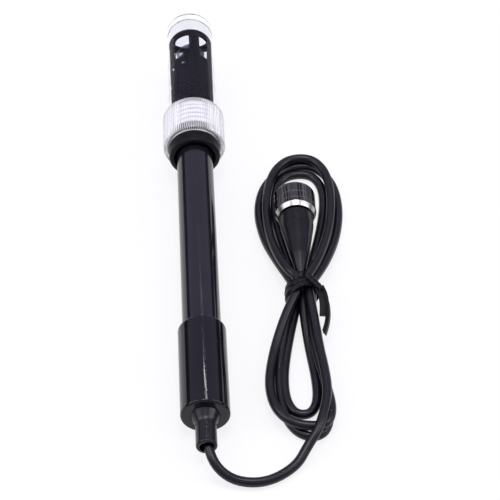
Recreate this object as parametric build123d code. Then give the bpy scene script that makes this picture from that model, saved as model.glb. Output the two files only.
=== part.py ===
from build123d import *
import os
from math import asin, atan2, cos, hypot, pi, radians, sin, sqrt, tan

# A combination pH electrode lying on a table, in millimetres. A clear storage bottle is screwed on its
# sensing tip, and its thin lead is wound into a tied hank round the bayonet plug. +Z is up, and +Y runs along
# the electrode from its lead end to its tip. The origin is on the table, under the middle of the electrode.
# Heights along the electrode are measured from the handle's lead end, positive towards the tip.

# Clearances
SEAT_CLEARANCE = 0.03
SLIDE_CLEARANCE = 0.08
TURN_CLEARANCE = 0.15
FACE_CLEARANCE = 0.05

# Shaft with its slotted tip guard
SHAFT_DIAMETER = 12.0
SHAFT_WALL = 1.2
SHAFT_EXPOSED = 135.7
SHAFT_SOCKET_DEPTH = 14.0
TIP_ROUND = 0.5
GUARD_RING_LENGTH = 2.5
GUARD_WINDOW_LENGTH = 11.0
GUARD_WINDOW_WIDTH = 5.7
GUARD_WINDOW_ROUND = 1.2
GUARD_WINDOW_COUNT = 4
GUARD_TURN = 57.5

# Handle and the strain relief in its end
HANDLE_DIAMETER = 15.0
HANDLE_LENGTH = 34.0
HANDLE_END_WALL = 4.5
HANDLE_END_ROUND = 0.8
HANDLE_SHOULDER_ROUND = 1.0
BOSS_DIAMETER = 6.4
BOSS_LENGTH = 11.5
BOSS_END_ROUND = 0.6
BOSS_FLARE_DIAMETER = 9.2
BOSS_FLARE_LENGTH = 3.0
BOSS_FLARE_ROUND = 3.0
BOSS_FLANGE_DIAMETER = 9.0
BOSS_FLANGE_LENGTH = 2.0
BOSS_MOUTH_DIAMETER = 4.4
BOSS_MOUTH_DEPTH = 2.5

# Glass stem, wires and seals inside the shaft
STEM_DIAMETER = 6.0
STEM_WALL = 0.6
STEM_TOP = 15.0
BULB_DIAMETER = 8.0
BULB_WALL = 0.35
STEM_PLUG_LENGTH = 4.0
TOP_SEAL_LENGTH = 6.0
TOP_SEAL_INSET = 1.5
TIP_SEAL_LENGTH = 6.0
JUNCTION_DIAMETER = 1.2
ELEMENT_DIAMETER = 0.8
ELEMENT_TOP = 12.0
REFERENCE_LENGTH = 100.0
CORE_DIAMETER = 1.2
SHIELD_DIAMETER = 0.8
SHIELD_BEND = 1.2
SHIELD_RISE = 5.0

# Storage bottle, its solution, ribbed cap and seal
TIP_ROOM = 5.8
BOTTLE_LENGTH = 58.6
BOTTLE_DIAMETER = 16.4
BOTTLE_END_DIAMETER = 16.0
BOTTLE_BORE = 13.4
BOTTLE_FLOOR = 2.0
BOTTLE_END_ROUND = 2.0
BOTTLE_FLOOR_ROUND = 2.5
NECK_DIAMETER = 18.0
NECK_LENGTH = 10.6
CAP_DIAMETER = 20.8
CAP_LENGTH = 15.1
CAP_LIP = 1.3
CAP_EDGE_ROUND = 0.8
CAP_SHOULDER_ROUND = 1.2
CAP_RIB_COUNT = 84
CAP_RIB_DEPTH = 0.35
CAP_RIB_CREST = 0.1
CAP_TRIM = 1.0
SEAL_FLANGE_LENGTH = 2.5
SEAL_NOSE_DIAMETER = 17.0
SEAL_NOSE_LENGTH = 5.9
SEAL_NOSE_ROUND = 0.8
SEAL_DISH_DIAMETER = 14.0
SEAL_DISH_DEPTH = 1.8

# Bayonet plug, measured forwards from the rear rim of its nut
NUT_DIAMETER = 13.2
NUT_LENGTH = 10.6
NUT_BORE = 9.8
NUT_REAR_DIAMETER = 12.0
NUT_REAR_TAPER = 1.6
NUT_FRONT_ROUND = 0.5
NUT_LIP_START = 0.8
NUT_LIP_LENGTH = 1.1
NUT_TRAVEL = 0.5
SLOT_WIDTH = 2.2
SLOT_DEPTH = 1.4
SLOT_OVERCUT = 0.4
SLOT_ENTRY = 3.2
SLOT_PITCH = 10.0
SLOT_RISE = 2.4
SHELL_NECK_DIAMETER = 8.4
SHELL_BARREL_DIAMETER = 9.2
SHELL_BARREL_LENGTH = 6.2
SHELL_BARREL_GAP = 0.8
SHELL_REAR_WALL = 4.0
SHELL_REAR_HOLE = 3.2
COLLAR_DIAMETER = 9.5
COLLAR_LENGTH = 1.2
CONTACT_DIAMETER = 8.0
CONTACT_WALL = 0.5
CONTACT_LENGTH = 6.0
CONTACT_SLIT = 0.6
CONTACT_SLIT_LENGTH = 4.5
CONTACT_SLIT_COUNT = 4
CONTACT_SLIT_TURN = 45.0
INSULATOR_NOSE_DIAMETER = 4.6
INSULATOR_NOSE_LENGTH = 4.8
PIN_DIAMETER = 1.35
PIN_REACH = 5.4
PIN_TIP_ROUND = 0.5
GASKET_LENGTH = 0.8
GASKET_GROOVE_DEPTH = 0.2
WASHER_LENGTH = 0.5
RING_DIAMETER = 9.6
RING_LENGTH = 0.6
RING_GROOVE_DEPTH = 0.3
FERRULE_DIAMETER = 5.2
FERRULE_LENGTH = 7.5
FERRULE_SEAT = 1.5
BOOT_DIAMETER = 10.9
BOOT_GAP = 0.4
BOOT_LENGTH = 17.4
BOOT_STRAIGHT = 4.0
BOOT_ROUND = 15.0
BOOT_END_DIAMETER = 6.2
PLUG_X = 32.3
PLUG_Y = 0.9

# Lead, its hank and its tie
CABLE_DIAMETER = 3.0
CABLE_SEATED = 8.0
LEAD_STRAIGHT = 2.5
LEAD_ROUTE = [
    (6.0, -103.1, 2.4),
    (16.5, -104.3, 1.6),
    (26.0, -98.5, 1.6),
    (31.0, -89.4, 1.8),
]
LEAD_BEND_SHARE = 0.45
HANK_LAYERS = 2
HANK_ROUND = 1.5
UPPER_LOOP_CENTRE = (33.6, 8.0)
UPPER_LOOP_WIDTH = 29.5
UPPER_LOOP_LENGTH = 59.0
UPPER_HOLE_CENTRE = (32.6, 4.0)
UPPER_HOLE_WIDTH = 15.2
UPPER_HOLE_LENGTH = 47.0
LOWER_LOOP_CENTRE = (29.2, -65.0)
LOWER_LOOP_WIDTH = 21.2
LOWER_LOOP_LENGTH = 50.0
LOWER_HOLE_CENTRE = (29.7, -60.5)
LOWER_HOLE_WIDTH = 6.2
LOWER_HOLE_LENGTH = 32.0
BUNDLE_DIAMETER = 9.2
BUNDLE_X = 32.2
BUNDLE_START = -44.0
BUNDLE_END = -19.0
TIE_Y = -29.0
TIE_WIDTH = 4.0
TIE_THICKNESS = 0.7
KNOT_WIDTH = 2.6
KNOT_LENGTH = 5.0
KNOT_HEIGHT = 4.6
KNOT_ROUND = 0.8
TAIL_THICKNESS = 0.6
LONG_TAIL_WIDTH = 1.6
LONG_TAIL_LENGTH = 14.0
LONG_TAIL_DROOP = 13.0
SHORT_TAIL_WIDTH = 2.4
SHORT_TAIL_LENGTH = 9.0
SHORT_TAIL_DROOP = 24.0

# Heights along the electrode
shaft_radius = SHAFT_DIAMETER / 2
shaft_bore = shaft_radius - SHAFT_WALL
shaft_start = HANDLE_LENGTH - SHAFT_SOCKET_DEPTH
tip = HANDLE_LENGTH + SHAFT_EXPOSED
window_far = tip - GUARD_RING_LENGTH
window_near = window_far - GUARD_WINDOW_LENGTH
bulb_middle = (window_far + window_near) / 2
stem_radius = STEM_DIAMETER / 2
side_wire_offset = (stem_radius + shaft_bore) / 2
cable_radius = CABLE_DIAMETER / 2
cable_start = CABLE_SEATED - BOSS_LENGTH
bottle_floor = tip + TIP_ROOM
bottle_end = bottle_floor + BOTTLE_FLOOR
bottle_rim = bottle_end - BOTTLE_LENGTH
flange_far = bottle_rim - FACE_CLEARANCE
flange_near = flange_far - SEAL_FLANGE_LENGTH
cap_lip_far = flange_near - FACE_CLEARANCE
cap_near = cap_lip_far - CAP_LIP
cap_far = cap_near + CAP_LENGTH

# Heights along the plug
lip_end = NUT_LIP_START + NUT_LIP_LENGTH
washer_end = lip_end + WASHER_LENGTH
collar_start = washer_end + NUT_TRAVEL + FACE_CLEARANCE
collar_end = collar_start + COLLAR_LENGTH
barrel_front = -SHELL_BARREL_GAP
barrel_rear = barrel_front - SHELL_BARREL_LENGTH
insulator_rear = barrel_rear + SHELL_REAR_WALL
ferrule_front = barrel_rear + FERRULE_SEAT
ferrule_rear = ferrule_front - FERRULE_LENGTH
boot_front = -BOOT_GAP
boot_rear = boot_front - BOOT_LENGTH
contact_bore = CONTACT_DIAMETER / 2 - CONTACT_WALL
gasket_groove = CONTACT_DIAMETER / 2 - GASKET_GROOVE_DEPTH
contact_start = collar_end + GASKET_LENGTH + FACE_CLEARANCE
contact_end = collar_end + CONTACT_LENGTH


def turned(*corners):
    """Revolve a half section about Z. A corner is (radius, height) or (radius, height, rounding)."""
    section = make_face(Polyline(*[(corner[0], 0, corner[1]) for corner in corners], close=True))
    for corner in corners:
        if len(corner) == 3:
            place = Vector(corner[0], 0, corner[1])
            section = fillet(section.vertices().sort_by_distance(place)[0], corner[2])
    return revolve(section, Axis.Z)


def rod(diameter, start, end, offset=0.0):
    """A round rod along Z from one height to another, at an offset along X."""
    return Pos(offset, 0, start) * Cylinder(
        diameter / 2, end - start, align=(Align.CENTER, Align.CENTER, Align.MIN)
    )


def sleeve(outer, inner, start, end):
    """A plain round sleeve along Z, from its two radii."""
    return turned((inner, start), (outer, start), (outer, end), (inner, end))


def swept_round(path, diameter):
    """Sweep a round section along a path."""
    section = Plane(origin=path @ 0, z_dir=path % 0) * Circle(diameter / 2)
    return sweep(section, path=path)


# Shaft and handle
def body_tube():
    """Shaft from its seat in the handle to the tip, with windows that leave a guard ring round the bulb."""
    tube = turned(
        (shaft_bore, shaft_start),
        (shaft_radius, shaft_start),
        (shaft_radius, tip, TIP_ROUND),
        (shaft_bore, tip),
    )
    middle = (window_near + window_far) / 2
    outline = RectangleRounded(GUARD_WINDOW_WIDTH, GUARD_WINDOW_LENGTH, GUARD_WINDOW_ROUND)
    window = extrude(Plane.YZ * Pos(0, middle) * outline, amount=SHAFT_DIAMETER)
    for number in range(GUARD_WINDOW_COUNT):
        tube -= Rot(0, 0, GUARD_TURN + number * 360 / GUARD_WINDOW_COUNT) * window
    return tube


def handle_cap():
    """Moulded cap with a socket for the shaft, a cavity for the joints and a hole for the strain relief."""
    outside = HANDLE_DIAMETER / 2
    socket = shaft_radius + SEAT_CLEARANCE
    hole = BOSS_DIAMETER / 2 + SEAT_CLEARANCE
    seat = shaft_start - FACE_CLEARANCE
    return turned(
        (hole, 0),
        (outside, 0, HANDLE_END_ROUND),
        (outside, HANDLE_LENGTH, HANDLE_SHOULDER_ROUND),
        (socket, HANDLE_LENGTH),
        (socket, seat),
        (shaft_bore, seat),
        (shaft_bore, HANDLE_END_WALL),
        (hole, HANDLE_END_WALL),
    )


def strain_relief():
    """Rubber boss through the handle's end: flared outside, flanged inside, with a mouth for the lead."""
    bore = cable_radius + SEAT_CLEARANCE
    seat = HANDLE_END_WALL + FACE_CLEARANCE
    outside = BOSS_DIAMETER / 2
    return turned(
        (BOSS_MOUTH_DIAMETER / 2, -BOSS_LENGTH),
        (outside, -BOSS_LENGTH, BOSS_END_ROUND),
        (outside, -BOSS_FLARE_LENGTH, BOSS_FLARE_ROUND),
        (BOSS_FLARE_DIAMETER / 2, -FACE_CLEARANCE),
        (outside, -FACE_CLEARANCE),
        (outside, seat),
        (BOSS_FLANGE_DIAMETER / 2, seat),
        (BOSS_FLANGE_DIAMETER / 2, seat + BOSS_FLANGE_LENGTH),
        (bore, seat + BOSS_FLANGE_LENGTH),
        (bore, BOSS_MOUTH_DEPTH - BOSS_LENGTH),
    )


# Sensing parts inside the shaft
def glass_stem():
    """Glass tube blown into a thin round bulb behind the guard."""
    bore = stem_radius - STEM_WALL
    bulb = BULB_DIAMETER / 2
    bulb_bore = bulb - BULB_WALL
    outer_root = bulb_middle - sqrt(bulb**2 - stem_radius**2)
    inner_root = bulb_middle - sqrt(bulb_bore**2 - bore**2)
    section = make_face(
        [
            Line((bore, 0, STEM_TOP), (stem_radius, 0, STEM_TOP)),
            Line((stem_radius, 0, STEM_TOP), (stem_radius, 0, outer_root)),
            ThreePointArc((stem_radius, 0, outer_root), (bulb, 0, bulb_middle), (0, 0, bulb_middle + bulb)),
            Line((0, 0, bulb_middle + bulb), (0, 0, bulb_middle + bulb_bore)),
            ThreePointArc(
                (0, 0, bulb_middle + bulb_bore), (bulb_bore, 0, bulb_middle), (bore, 0, inner_root)
            ),
            Line((bore, 0, inner_root), (bore, 0, STEM_TOP)),
        ]
    )
    return revolve(section, Axis.Z)


def stem_plug():
    """Stopper in the stem's upper end, pierced for the inner element."""
    outside = stem_radius - STEM_WALL - SEAT_CLEARANCE
    return sleeve(outside, ELEMENT_DIAMETER / 2 + SEAT_CLEARANCE, STEM_TOP, STEM_TOP + STEM_PLUG_LENGTH)


def ring_seal(start, end, wire_diameter, wire_offset):
    """Plug between the stem and the shaft's bore, pierced beside the stem."""
    ring = sleeve(shaft_bore - SEAT_CLEARANCE, stem_radius + SEAT_CLEARANCE, start, end)
    return ring - rod(wire_diameter + 2 * SEAT_CLEARANCE, start, end, wire_offset)


def shield_lead():
    """Twisted screen of the lead, bent from the boss's bore out to the reference element."""
    inner_offset = (CORE_DIAMETER + SHIELD_DIAMETER) / 2 + SEAT_CLEARANCE
    bend = HANDLE_END_WALL + BOSS_FLANGE_LENGTH + SHIELD_BEND
    path = FilletPolyline(
        (inner_offset, 0, cable_start),
        (inner_offset, 0, bend),
        (side_wire_offset, 0, bend + SHIELD_RISE - SHIELD_BEND),
        (side_wire_offset, 0, ELEMENT_TOP + SHIELD_BEND),
        radius=SHIELD_BEND,
    )
    return swept_round(path, SHIELD_DIAMETER)


# Storage bottle set
def storage_bottle():
    """Clear bottle with a wider neck for the cap and a rounded end."""
    bore = BOTTLE_BORE / 2
    neck_end = bottle_rim + NECK_LENGTH
    return turned(
        (bore, bottle_rim),
        (NECK_DIAMETER / 2, bottle_rim),
        (NECK_DIAMETER / 2, neck_end),
        (BOTTLE_DIAMETER / 2, neck_end),
        (BOTTLE_END_DIAMETER / 2, bottle_end, BOTTLE_END_ROUND),
        (0, bottle_end),
        (0, bottle_floor),
        (bore, bottle_floor, BOTTLE_FLOOR_ROUND),
    )


def storage_solution():
    """Liquid that fills the bottle round the shaft and past its tip."""
    outside = BOTTLE_BORE / 2 - SEAT_CLEARANCE
    inside = shaft_radius + TURN_CLEARANCE
    return turned(
        (inside, bottle_rim + TURN_CLEARANCE),
        (outside, bottle_rim + TURN_CLEARANCE),
        (outside, bottle_floor - SEAT_CLEARANCE, BOTTLE_FLOOR_ROUND),
        (0, bottle_floor - SEAT_CLEARANCE),
        (0, tip + TURN_CLEARANCE),
        (inside, tip + TURN_CLEARANCE),
    )


def cap_seal():
    """Rubber ring on the shaft: a flange that the cap squeezes and a dished nose that shows outside."""
    bore = shaft_radius + SLIDE_CLEARANCE
    nose_end = flange_near - SEAL_NOSE_LENGTH
    nose = SEAL_NOSE_DIAMETER / 2
    return turned(
        (SEAL_DISH_DIAMETER / 2, nose_end),
        (nose, nose_end, SEAL_NOSE_ROUND),
        (nose, flange_near),
        (NECK_DIAMETER / 2, flange_near),
        (NECK_DIAMETER / 2, flange_far),
        (bore, flange_far),
        (bore, nose_end + SEAL_DISH_DEPTH),
    )


def bottle_cap():
    """Ribbed screw cap: a longer toothed bar trimmed by the cap's rounded outline, then bored."""
    outside = CAP_DIAMETER / 2
    crest = outside + CAP_RIB_CREST
    valley = outside - CAP_RIB_DEPTH
    step = 2 * pi / CAP_RIB_COUNT
    outline = []
    for rib in range(CAP_RIB_COUNT):
        angle = rib * step
        outline.append((crest * cos(angle), crest * sin(angle)))
        outline.append((valley * cos(angle + step / 2), valley * sin(angle + step / 2)))
    bar_start = cap_near - CAP_TRIM
    bar_end = cap_far + CAP_TRIM
    teeth = make_face(Polyline(*outline, close=True))
    toothed = extrude(Pos(0, 0, bar_start) * teeth, amount=bar_end - bar_start)
    envelope = turned(
        (0, cap_near),
        (outside, cap_near, CAP_EDGE_ROUND),
        (outside, cap_far, CAP_SHOULDER_ROUND),
        (0, cap_far),
    )
    mouth = rod(SEAL_NOSE_DIAMETER + 2 * TURN_CLEARANCE, bar_start, bar_end)
    bore = rod(NECK_DIAMETER + 2 * TURN_CLEARANCE, cap_lip_far, bar_end)
    return (toothed & envelope) - mouth - bore


# Bayonet plug
def coupling_nut():
    """Nut with a lip that turns on the shell, and two bayonet slots in its bore."""
    outside = NUT_DIAMETER / 2
    bore = NUT_BORE / 2
    lip = SHELL_NECK_DIAMETER / 2 + SLIDE_CLEARANCE
    recess = RING_DIAMETER / 2 + TURN_CLEARANCE
    nut = turned(
        (recess, 0),
        (NUT_REAR_DIAMETER / 2, 0),
        (outside, NUT_REAR_TAPER),
        (outside, NUT_LENGTH, NUT_FRONT_ROUND),
        (bore, NUT_LENGTH),
        (bore, lip_end),
        (lip, lip_end),
        (lip, NUT_LIP_START),
        (recess, NUT_LIP_START),
    )
    ramp_start = NUT_LENGTH - SLOT_ENTRY
    ramp_end = ramp_start - SLOT_RISE
    cut_depth = SLOT_DEPTH + SLOT_OVERCUT
    ramp_radius = bore + SLOT_DEPTH - cut_depth / 2
    entry = Pos(ramp_radius, 0, ramp_start) * Box(
        cut_depth, SLOT_WIDTH, SLOT_ENTRY, align=(Align.CENTER, Align.CENTER, Align.MIN)
    )
    ramp_path = Helix(SLOT_PITCH, SLOT_RISE, ramp_radius, center=(0, 0, ramp_end))
    ramp_section = Plane(origin=ramp_path @ 0, z_dir=ramp_path % 0, x_dir=(1, 0, 0)) * Rectangle(
        cut_depth, SLOT_WIDTH
    )
    ramp = sweep(ramp_section, path=ramp_path, is_frenet=True)
    ramp_turn = 360 * SLOT_RISE / SLOT_PITCH
    seat = extrude(Plane.YZ * Pos(0, ramp_end) * Circle(SLOT_WIDTH / 2), amount=NUT_DIAMETER)
    for half_turn in (0, 180):
        nut -= Rot(0, 0, half_turn + ramp_turn) * entry
        nut -= Rot(0, 0, half_turn) * ramp
        nut -= Rot(0, 0, half_turn) * seat
    return nut


def plug_shell():
    """Turned body: barrel under the boot, neck for the nut, collar, and the slit outer contact."""
    neck = SHELL_NECK_DIAMETER / 2
    groove = neck - RING_GROOVE_DEPTH
    groove_end = NUT_LIP_START - FACE_CLEARANCE
    groove_start = groove_end - RING_LENGTH - FACE_CLEARANCE
    barrel = SHELL_BARREL_DIAMETER / 2
    ferrule_bore = FERRULE_DIAMETER / 2 + SEAT_CLEARANCE
    shell = turned(
        (ferrule_bore, barrel_rear),
        (barrel, barrel_rear),
        (barrel, barrel_front),
        (neck, barrel_front),
        (neck, groove_start),
        (groove, groove_start),
        (groove, groove_end),
        (neck, groove_end),
        (neck, collar_start),
        (COLLAR_DIAMETER / 2, collar_start),
        (COLLAR_DIAMETER / 2, collar_end),
        (gasket_groove, collar_end),
        (gasket_groove, contact_start),
        (CONTACT_DIAMETER / 2, contact_start),
        (CONTACT_DIAMETER / 2, contact_end),
        (contact_bore, contact_end),
        (contact_bore, insulator_rear),
        (SHELL_REAR_HOLE / 2, insulator_rear),
        (SHELL_REAR_HOLE / 2, ferrule_front),
        (ferrule_bore, ferrule_front),
    )
    slit = Pos(0, 0, contact_end) * Box(
        CONTACT_DIAMETER, CONTACT_SLIT, CONTACT_SLIT_LENGTH, align=(Align.MIN, Align.CENTER, Align.MAX)
    )
    for number in range(CONTACT_SLIT_COUNT):
        shell -= Rot(0, 0, CONTACT_SLIT_TURN + number * 360 / CONTACT_SLIT_COUNT) * slit
    return shell


def plug_insulator():
    """Insulator seated in the shell, with a thin nose round the centre pin."""
    bore = PIN_DIAMETER / 2 + SEAT_CLEARANCE
    seat = contact_bore - SEAT_CLEARANCE
    return turned(
        (bore, insulator_rear + FACE_CLEARANCE),
        (seat, insulator_rear + FACE_CLEARANCE),
        (seat, collar_end),
        (INSULATOR_NOSE_DIAMETER / 2, collar_end),
        (INSULATOR_NOSE_DIAMETER / 2, collar_end + INSULATOR_NOSE_LENGTH),
        (bore, collar_end + INSULATOR_NOSE_LENGTH),
    )


def centre_pin():
    """Pin from the lead's end to just behind the contact's rim, with a rounded tip."""
    radius = PIN_DIAMETER / 2
    reach = collar_end + PIN_REACH
    return turned((0, ferrule_front), (radius, ferrule_front), (radius, reach, PIN_TIP_ROUND), (0, reach))


def retaining_ring():
    """Snap ring in the neck's groove, behind the nut's lip."""
    inside = SHELL_NECK_DIAMETER / 2 - RING_GROOVE_DEPTH + SEAT_CLEARANCE
    end = NUT_LIP_START - 2 * FACE_CLEARANCE
    return sleeve(RING_DIAMETER / 2, inside, end - RING_LENGTH + FACE_CLEARANCE, end)


def spring_washer():
    """Washer in front of the nut's lip, at its pressed height."""
    inside = SHELL_NECK_DIAMETER / 2 + SLIDE_CLEARANCE
    return sleeve(COLLAR_DIAMETER / 2, inside, lip_end + FACE_CLEARANCE / 2, washer_end)


def plug_boot():
    """Rubber boot over the barrel and the ferrule, tapered down to the lead."""
    barrel = SHELL_BARREL_DIAMETER / 2 + SEAT_CLEARANCE
    ferrule = FERRULE_DIAMETER / 2 + SEAT_CLEARANCE
    bore = cable_radius + SEAT_CLEARANCE
    outside = BOOT_DIAMETER / 2
    return turned(
        (barrel, boot_front),
        (outside, boot_front),
        (outside, boot_front - BOOT_STRAIGHT, BOOT_ROUND),
        (BOOT_END_DIAMETER / 2, boot_rear),
        (bore, boot_rear),
        (bore, ferrule_rear - SEAT_CLEARANCE),
        (ferrule, ferrule_rear - SEAT_CLEARANCE),
        (ferrule, barrel_rear - SEAT_CLEARANCE),
        (barrel, barrel_rear - SEAT_CLEARANCE),
    )


# Lead, hank and tie
def lead_tube(points):
    """Tube along the free stretch: straight runs joined by arcs as large as the runs allow."""
    radii = []
    for before, corner, after in zip(points, points[1:], points[2:]):
        shorter = min((corner - before).length, (after - corner).length)
        half_turn = radians((corner - before).get_angle(after - corner)) / 2
        radii.append(LEAD_BEND_SHARE * shorter / tan(half_turn))
    path = FilletPolyline(*points, radius=radii)
    tube = swept_round(path, CABLE_DIAMETER)
    print("lead bend radii", [round(radius, 1) for radius in radii], "length", round(path.length, 1))
    print("lead volume", round(tube.volume, 1))
    print("lead section x length", round(pi * cable_radius**2 * path.length, 1))
    return tube


def loop_plate(centre, width, length, hole_centre, hole_width, hole_length):
    """One loop of the hank: an oval plate as tall as its layers of lead, with an oval hole."""
    height = HANK_LAYERS * CABLE_DIAMETER
    oval = extrude(Pos(*centre) * Ellipse(width / 2, length / 2), amount=height)
    hole = extrude(Pos(*hole_centre) * Ellipse(hole_width / 2, hole_length / 2), amount=height)
    return fillet(oval.edges().group_by(Axis.Z)[-1], HANK_ROUND) - hole


def cable_hank():
    """Outer shape of the wound lead: two open loops and the bundle between them that the tie holds."""
    upper = loop_plate(
        UPPER_LOOP_CENTRE,
        UPPER_LOOP_WIDTH,
        UPPER_LOOP_LENGTH,
        UPPER_HOLE_CENTRE,
        UPPER_HOLE_WIDTH,
        UPPER_HOLE_LENGTH,
    )
    lower = loop_plate(
        LOWER_LOOP_CENTRE,
        LOWER_LOOP_WIDTH,
        LOWER_LOOP_LENGTH,
        LOWER_HOLE_CENTRE,
        LOWER_HOLE_WIDTH,
        LOWER_HOLE_LENGTH,
    )
    bundle = Pos(BUNDLE_X, BUNDLE_START, bundle_height) * Rot(-90, 0, 0) * rod(
        BUNDLE_DIAMETER, 0, BUNDLE_END - BUNDLE_START
    )
    return upper + lower + bundle


def tie_tail(width, length, droop, height):
    """One flat tail of the tie, from the knot towards the lead end and down."""
    strip = Box(width, length, TAIL_THICKNESS, align=(Align.MAX, Align.MAX, Align.CENTER))
    return Pos(KNOT_WIDTH, -KNOT_LENGTH / 4, height) * Rot(droop, 0, 0) * strip


def cable_tie():
    """Band round the bundle, with its knot at the right and two tails."""
    inside = BUNDLE_DIAMETER / 2 + SEAT_CLEARANCE
    band = Rot(-90, 0, 0) * sleeve(inside + TIE_THICKNESS, inside, -TIE_WIDTH / 2, TIE_WIDTH / 2)
    knot_box = Box(KNOT_WIDTH, KNOT_LENGTH, KNOT_HEIGHT, align=(Align.MIN, Align.CENTER, Align.CENTER))
    knot = fillet(knot_box.edges(), KNOT_ROUND)
    knot += tie_tail(SHORT_TAIL_WIDTH, SHORT_TAIL_LENGTH, SHORT_TAIL_DROOP, KNOT_HEIGHT / 4)
    knot += tie_tail(LONG_TAIL_WIDTH, LONG_TAIL_LENGTH, LONG_TAIL_DROOP, -KNOT_HEIGHT / 4)
    return Pos(BUNDLE_X, TIE_Y, bundle_height) * (band + Pos(inside, 0, 0) * knot)


# Where things lie: the handle's end edge and the cap's near edge both touch the table.
handle_edge = Vector(HANDLE_END_ROUND, HANDLE_END_ROUND - HANDLE_DIAMETER / 2)
cap_edge = Vector(cap_near + CAP_EDGE_ROUND, CAP_EDGE_ROUND - CAP_DIAMETER / 2)
between = cap_edge - handle_edge
tilt = atan2(-between.Y, between.X) + asin((CAP_EDGE_ROUND - HANDLE_END_ROUND) / hypot(between.X, between.Y))
axis_height = HANDLE_END_ROUND - handle_edge.X * sin(tilt) - handle_edge.Y * cos(tilt)
axis = Vector(0, cos(tilt), sin(tilt))
handle_y = -(bottle_end - BOSS_LENGTH) / 2 * cos(tilt)
lay_electrode = Pos(0, handle_y, axis_height) * Rot(tilt * 180 / pi - 90, 0, 0)
lay_plug = Pos(PLUG_X, PLUG_Y, NUT_DIAMETER / 2) * Rot(-90, 0, 0)
bundle_height = BUNDLE_DIAMETER / 2 + SEAT_CLEARANCE + TIE_THICKNESS


def on_axis(height):
    """Place of a height along the electrode in the table's frame."""
    return Vector(0, handle_y, axis_height) + axis * height


electrode_nodes = {
    "body_tube": body_tube(),
    "handle_cap": handle_cap(),
    "strain_relief": strain_relief(),
    "glass_stem": glass_stem(),
    "stem_plug": stem_plug(),
    "inner_element": rod(ELEMENT_DIAMETER, ELEMENT_TOP, bulb_middle),
    "reference_element": rod(
        ELEMENT_DIAMETER, ELEMENT_TOP + SHIELD_BEND, ELEMENT_TOP + REFERENCE_LENGTH, side_wire_offset
    ),
    "top_seal": ring_seal(
        shaft_start + TOP_SEAL_INSET,
        shaft_start + TOP_SEAL_INSET + TOP_SEAL_LENGTH,
        ELEMENT_DIAMETER,
        side_wire_offset,
    ),
    "tip_seal": ring_seal(window_near - TIP_SEAL_LENGTH, window_near, JUNCTION_DIAMETER, -side_wire_offset),
    "junction": rod(JUNCTION_DIAMETER, window_near - TIP_SEAL_LENGTH, window_near, -side_wire_offset),
    "core_lead": rod(CORE_DIAMETER, cable_start, ELEMENT_TOP),
    "shield_lead": shield_lead(),
    "storage_bottle": storage_bottle(),
    "storage_solution": storage_solution(),
    "cap_seal": cap_seal(),
    "bottle_cap": bottle_cap(),
}
plug_nodes = {
    "coupling_nut": coupling_nut(),
    "plug_shell": plug_shell(),
    "plug_insulator": plug_insulator(),
    "centre_pin": centre_pin(),
    "plug_gasket": sleeve(
        COLLAR_DIAMETER / 2, gasket_groove + SEAT_CLEARANCE, collar_end, collar_end + GASKET_LENGTH
    ),
    "spring_washer": spring_washer(),
    "retaining_ring": retaining_ring(),
    "crimp_ferrule": sleeve(FERRULE_DIAMETER / 2, cable_radius + SEAT_CLEARANCE, ferrule_rear, ferrule_front),
    "plug_boot": plug_boot(),
    "cable_tail": rod(CABLE_DIAMETER, BUNDLE_END - PLUG_Y - CABLE_DIAMETER, ferrule_front),
}
lead_start = on_axis(cable_start)
lead_bend = on_axis(-BOSS_LENGTH - LEAD_STRAIGHT)
table_nodes = {
    "cable_lead": lead_tube([lead_start, lead_bend] + [Vector(*point) for point in LEAD_ROUTE]),
    "cable_hank": cable_hank(),
    "cable_tie": cable_tie(),
}

nodes = {name: lay_electrode * solid for name, solid in electrode_nodes.items()}
nodes.update({name: lay_plug * solid for name, solid in plug_nodes.items()})
nodes.update(table_nodes)

os.makedirs("parts", exist_ok=True)
for name, solid in nodes.items():
    export_step(solid, os.path.join("parts", name + ".step"))

print("tilt in degrees", round(tilt * 180 / pi, 4), "axis", axis)
print("handle grip middle", on_axis((HANDLE_END_ROUND + HANDLE_LENGTH - HANDLE_SHOULDER_ROUND) / 2))
print("cap middle", on_axis((cap_near + cap_far) / 2), "boss end", on_axis(-BOSS_LENGTH))
print("contact middle", PLUG_X, PLUG_Y + (contact_start + contact_end) / 2, NUT_DIAMETER / 2)
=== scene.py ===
"""Looks of a laboratory pH electrode that lies on a white table with its lead tied into a hank."""

import logging
import math
from dataclasses import dataclass
from enum import Enum
from typing import Callable, Sequence

import bmesh
import bpy
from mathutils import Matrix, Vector


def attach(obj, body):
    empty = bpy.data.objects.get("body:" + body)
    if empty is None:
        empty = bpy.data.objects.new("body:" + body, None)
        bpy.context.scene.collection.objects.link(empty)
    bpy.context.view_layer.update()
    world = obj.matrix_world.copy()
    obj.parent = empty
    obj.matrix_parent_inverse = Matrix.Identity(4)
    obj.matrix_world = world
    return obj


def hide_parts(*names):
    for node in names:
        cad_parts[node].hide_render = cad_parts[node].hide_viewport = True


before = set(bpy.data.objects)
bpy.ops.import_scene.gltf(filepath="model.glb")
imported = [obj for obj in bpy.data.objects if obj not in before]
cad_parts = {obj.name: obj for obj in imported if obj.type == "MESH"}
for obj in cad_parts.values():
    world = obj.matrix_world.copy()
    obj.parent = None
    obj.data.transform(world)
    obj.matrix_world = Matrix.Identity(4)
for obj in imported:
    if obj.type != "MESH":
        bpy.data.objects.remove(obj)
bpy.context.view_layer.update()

MM = 0.001
FULL_TURN = 2 * math.pi
LOG = logging.getLogger("electrode")

Colour = tuple[float, float, float]
Point = tuple[float, float, float]
Faces = list[tuple[int, ...]]
WHITE: Colour = (1.0, 1.0, 1.0)
ARC_STEPS = 8


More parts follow.
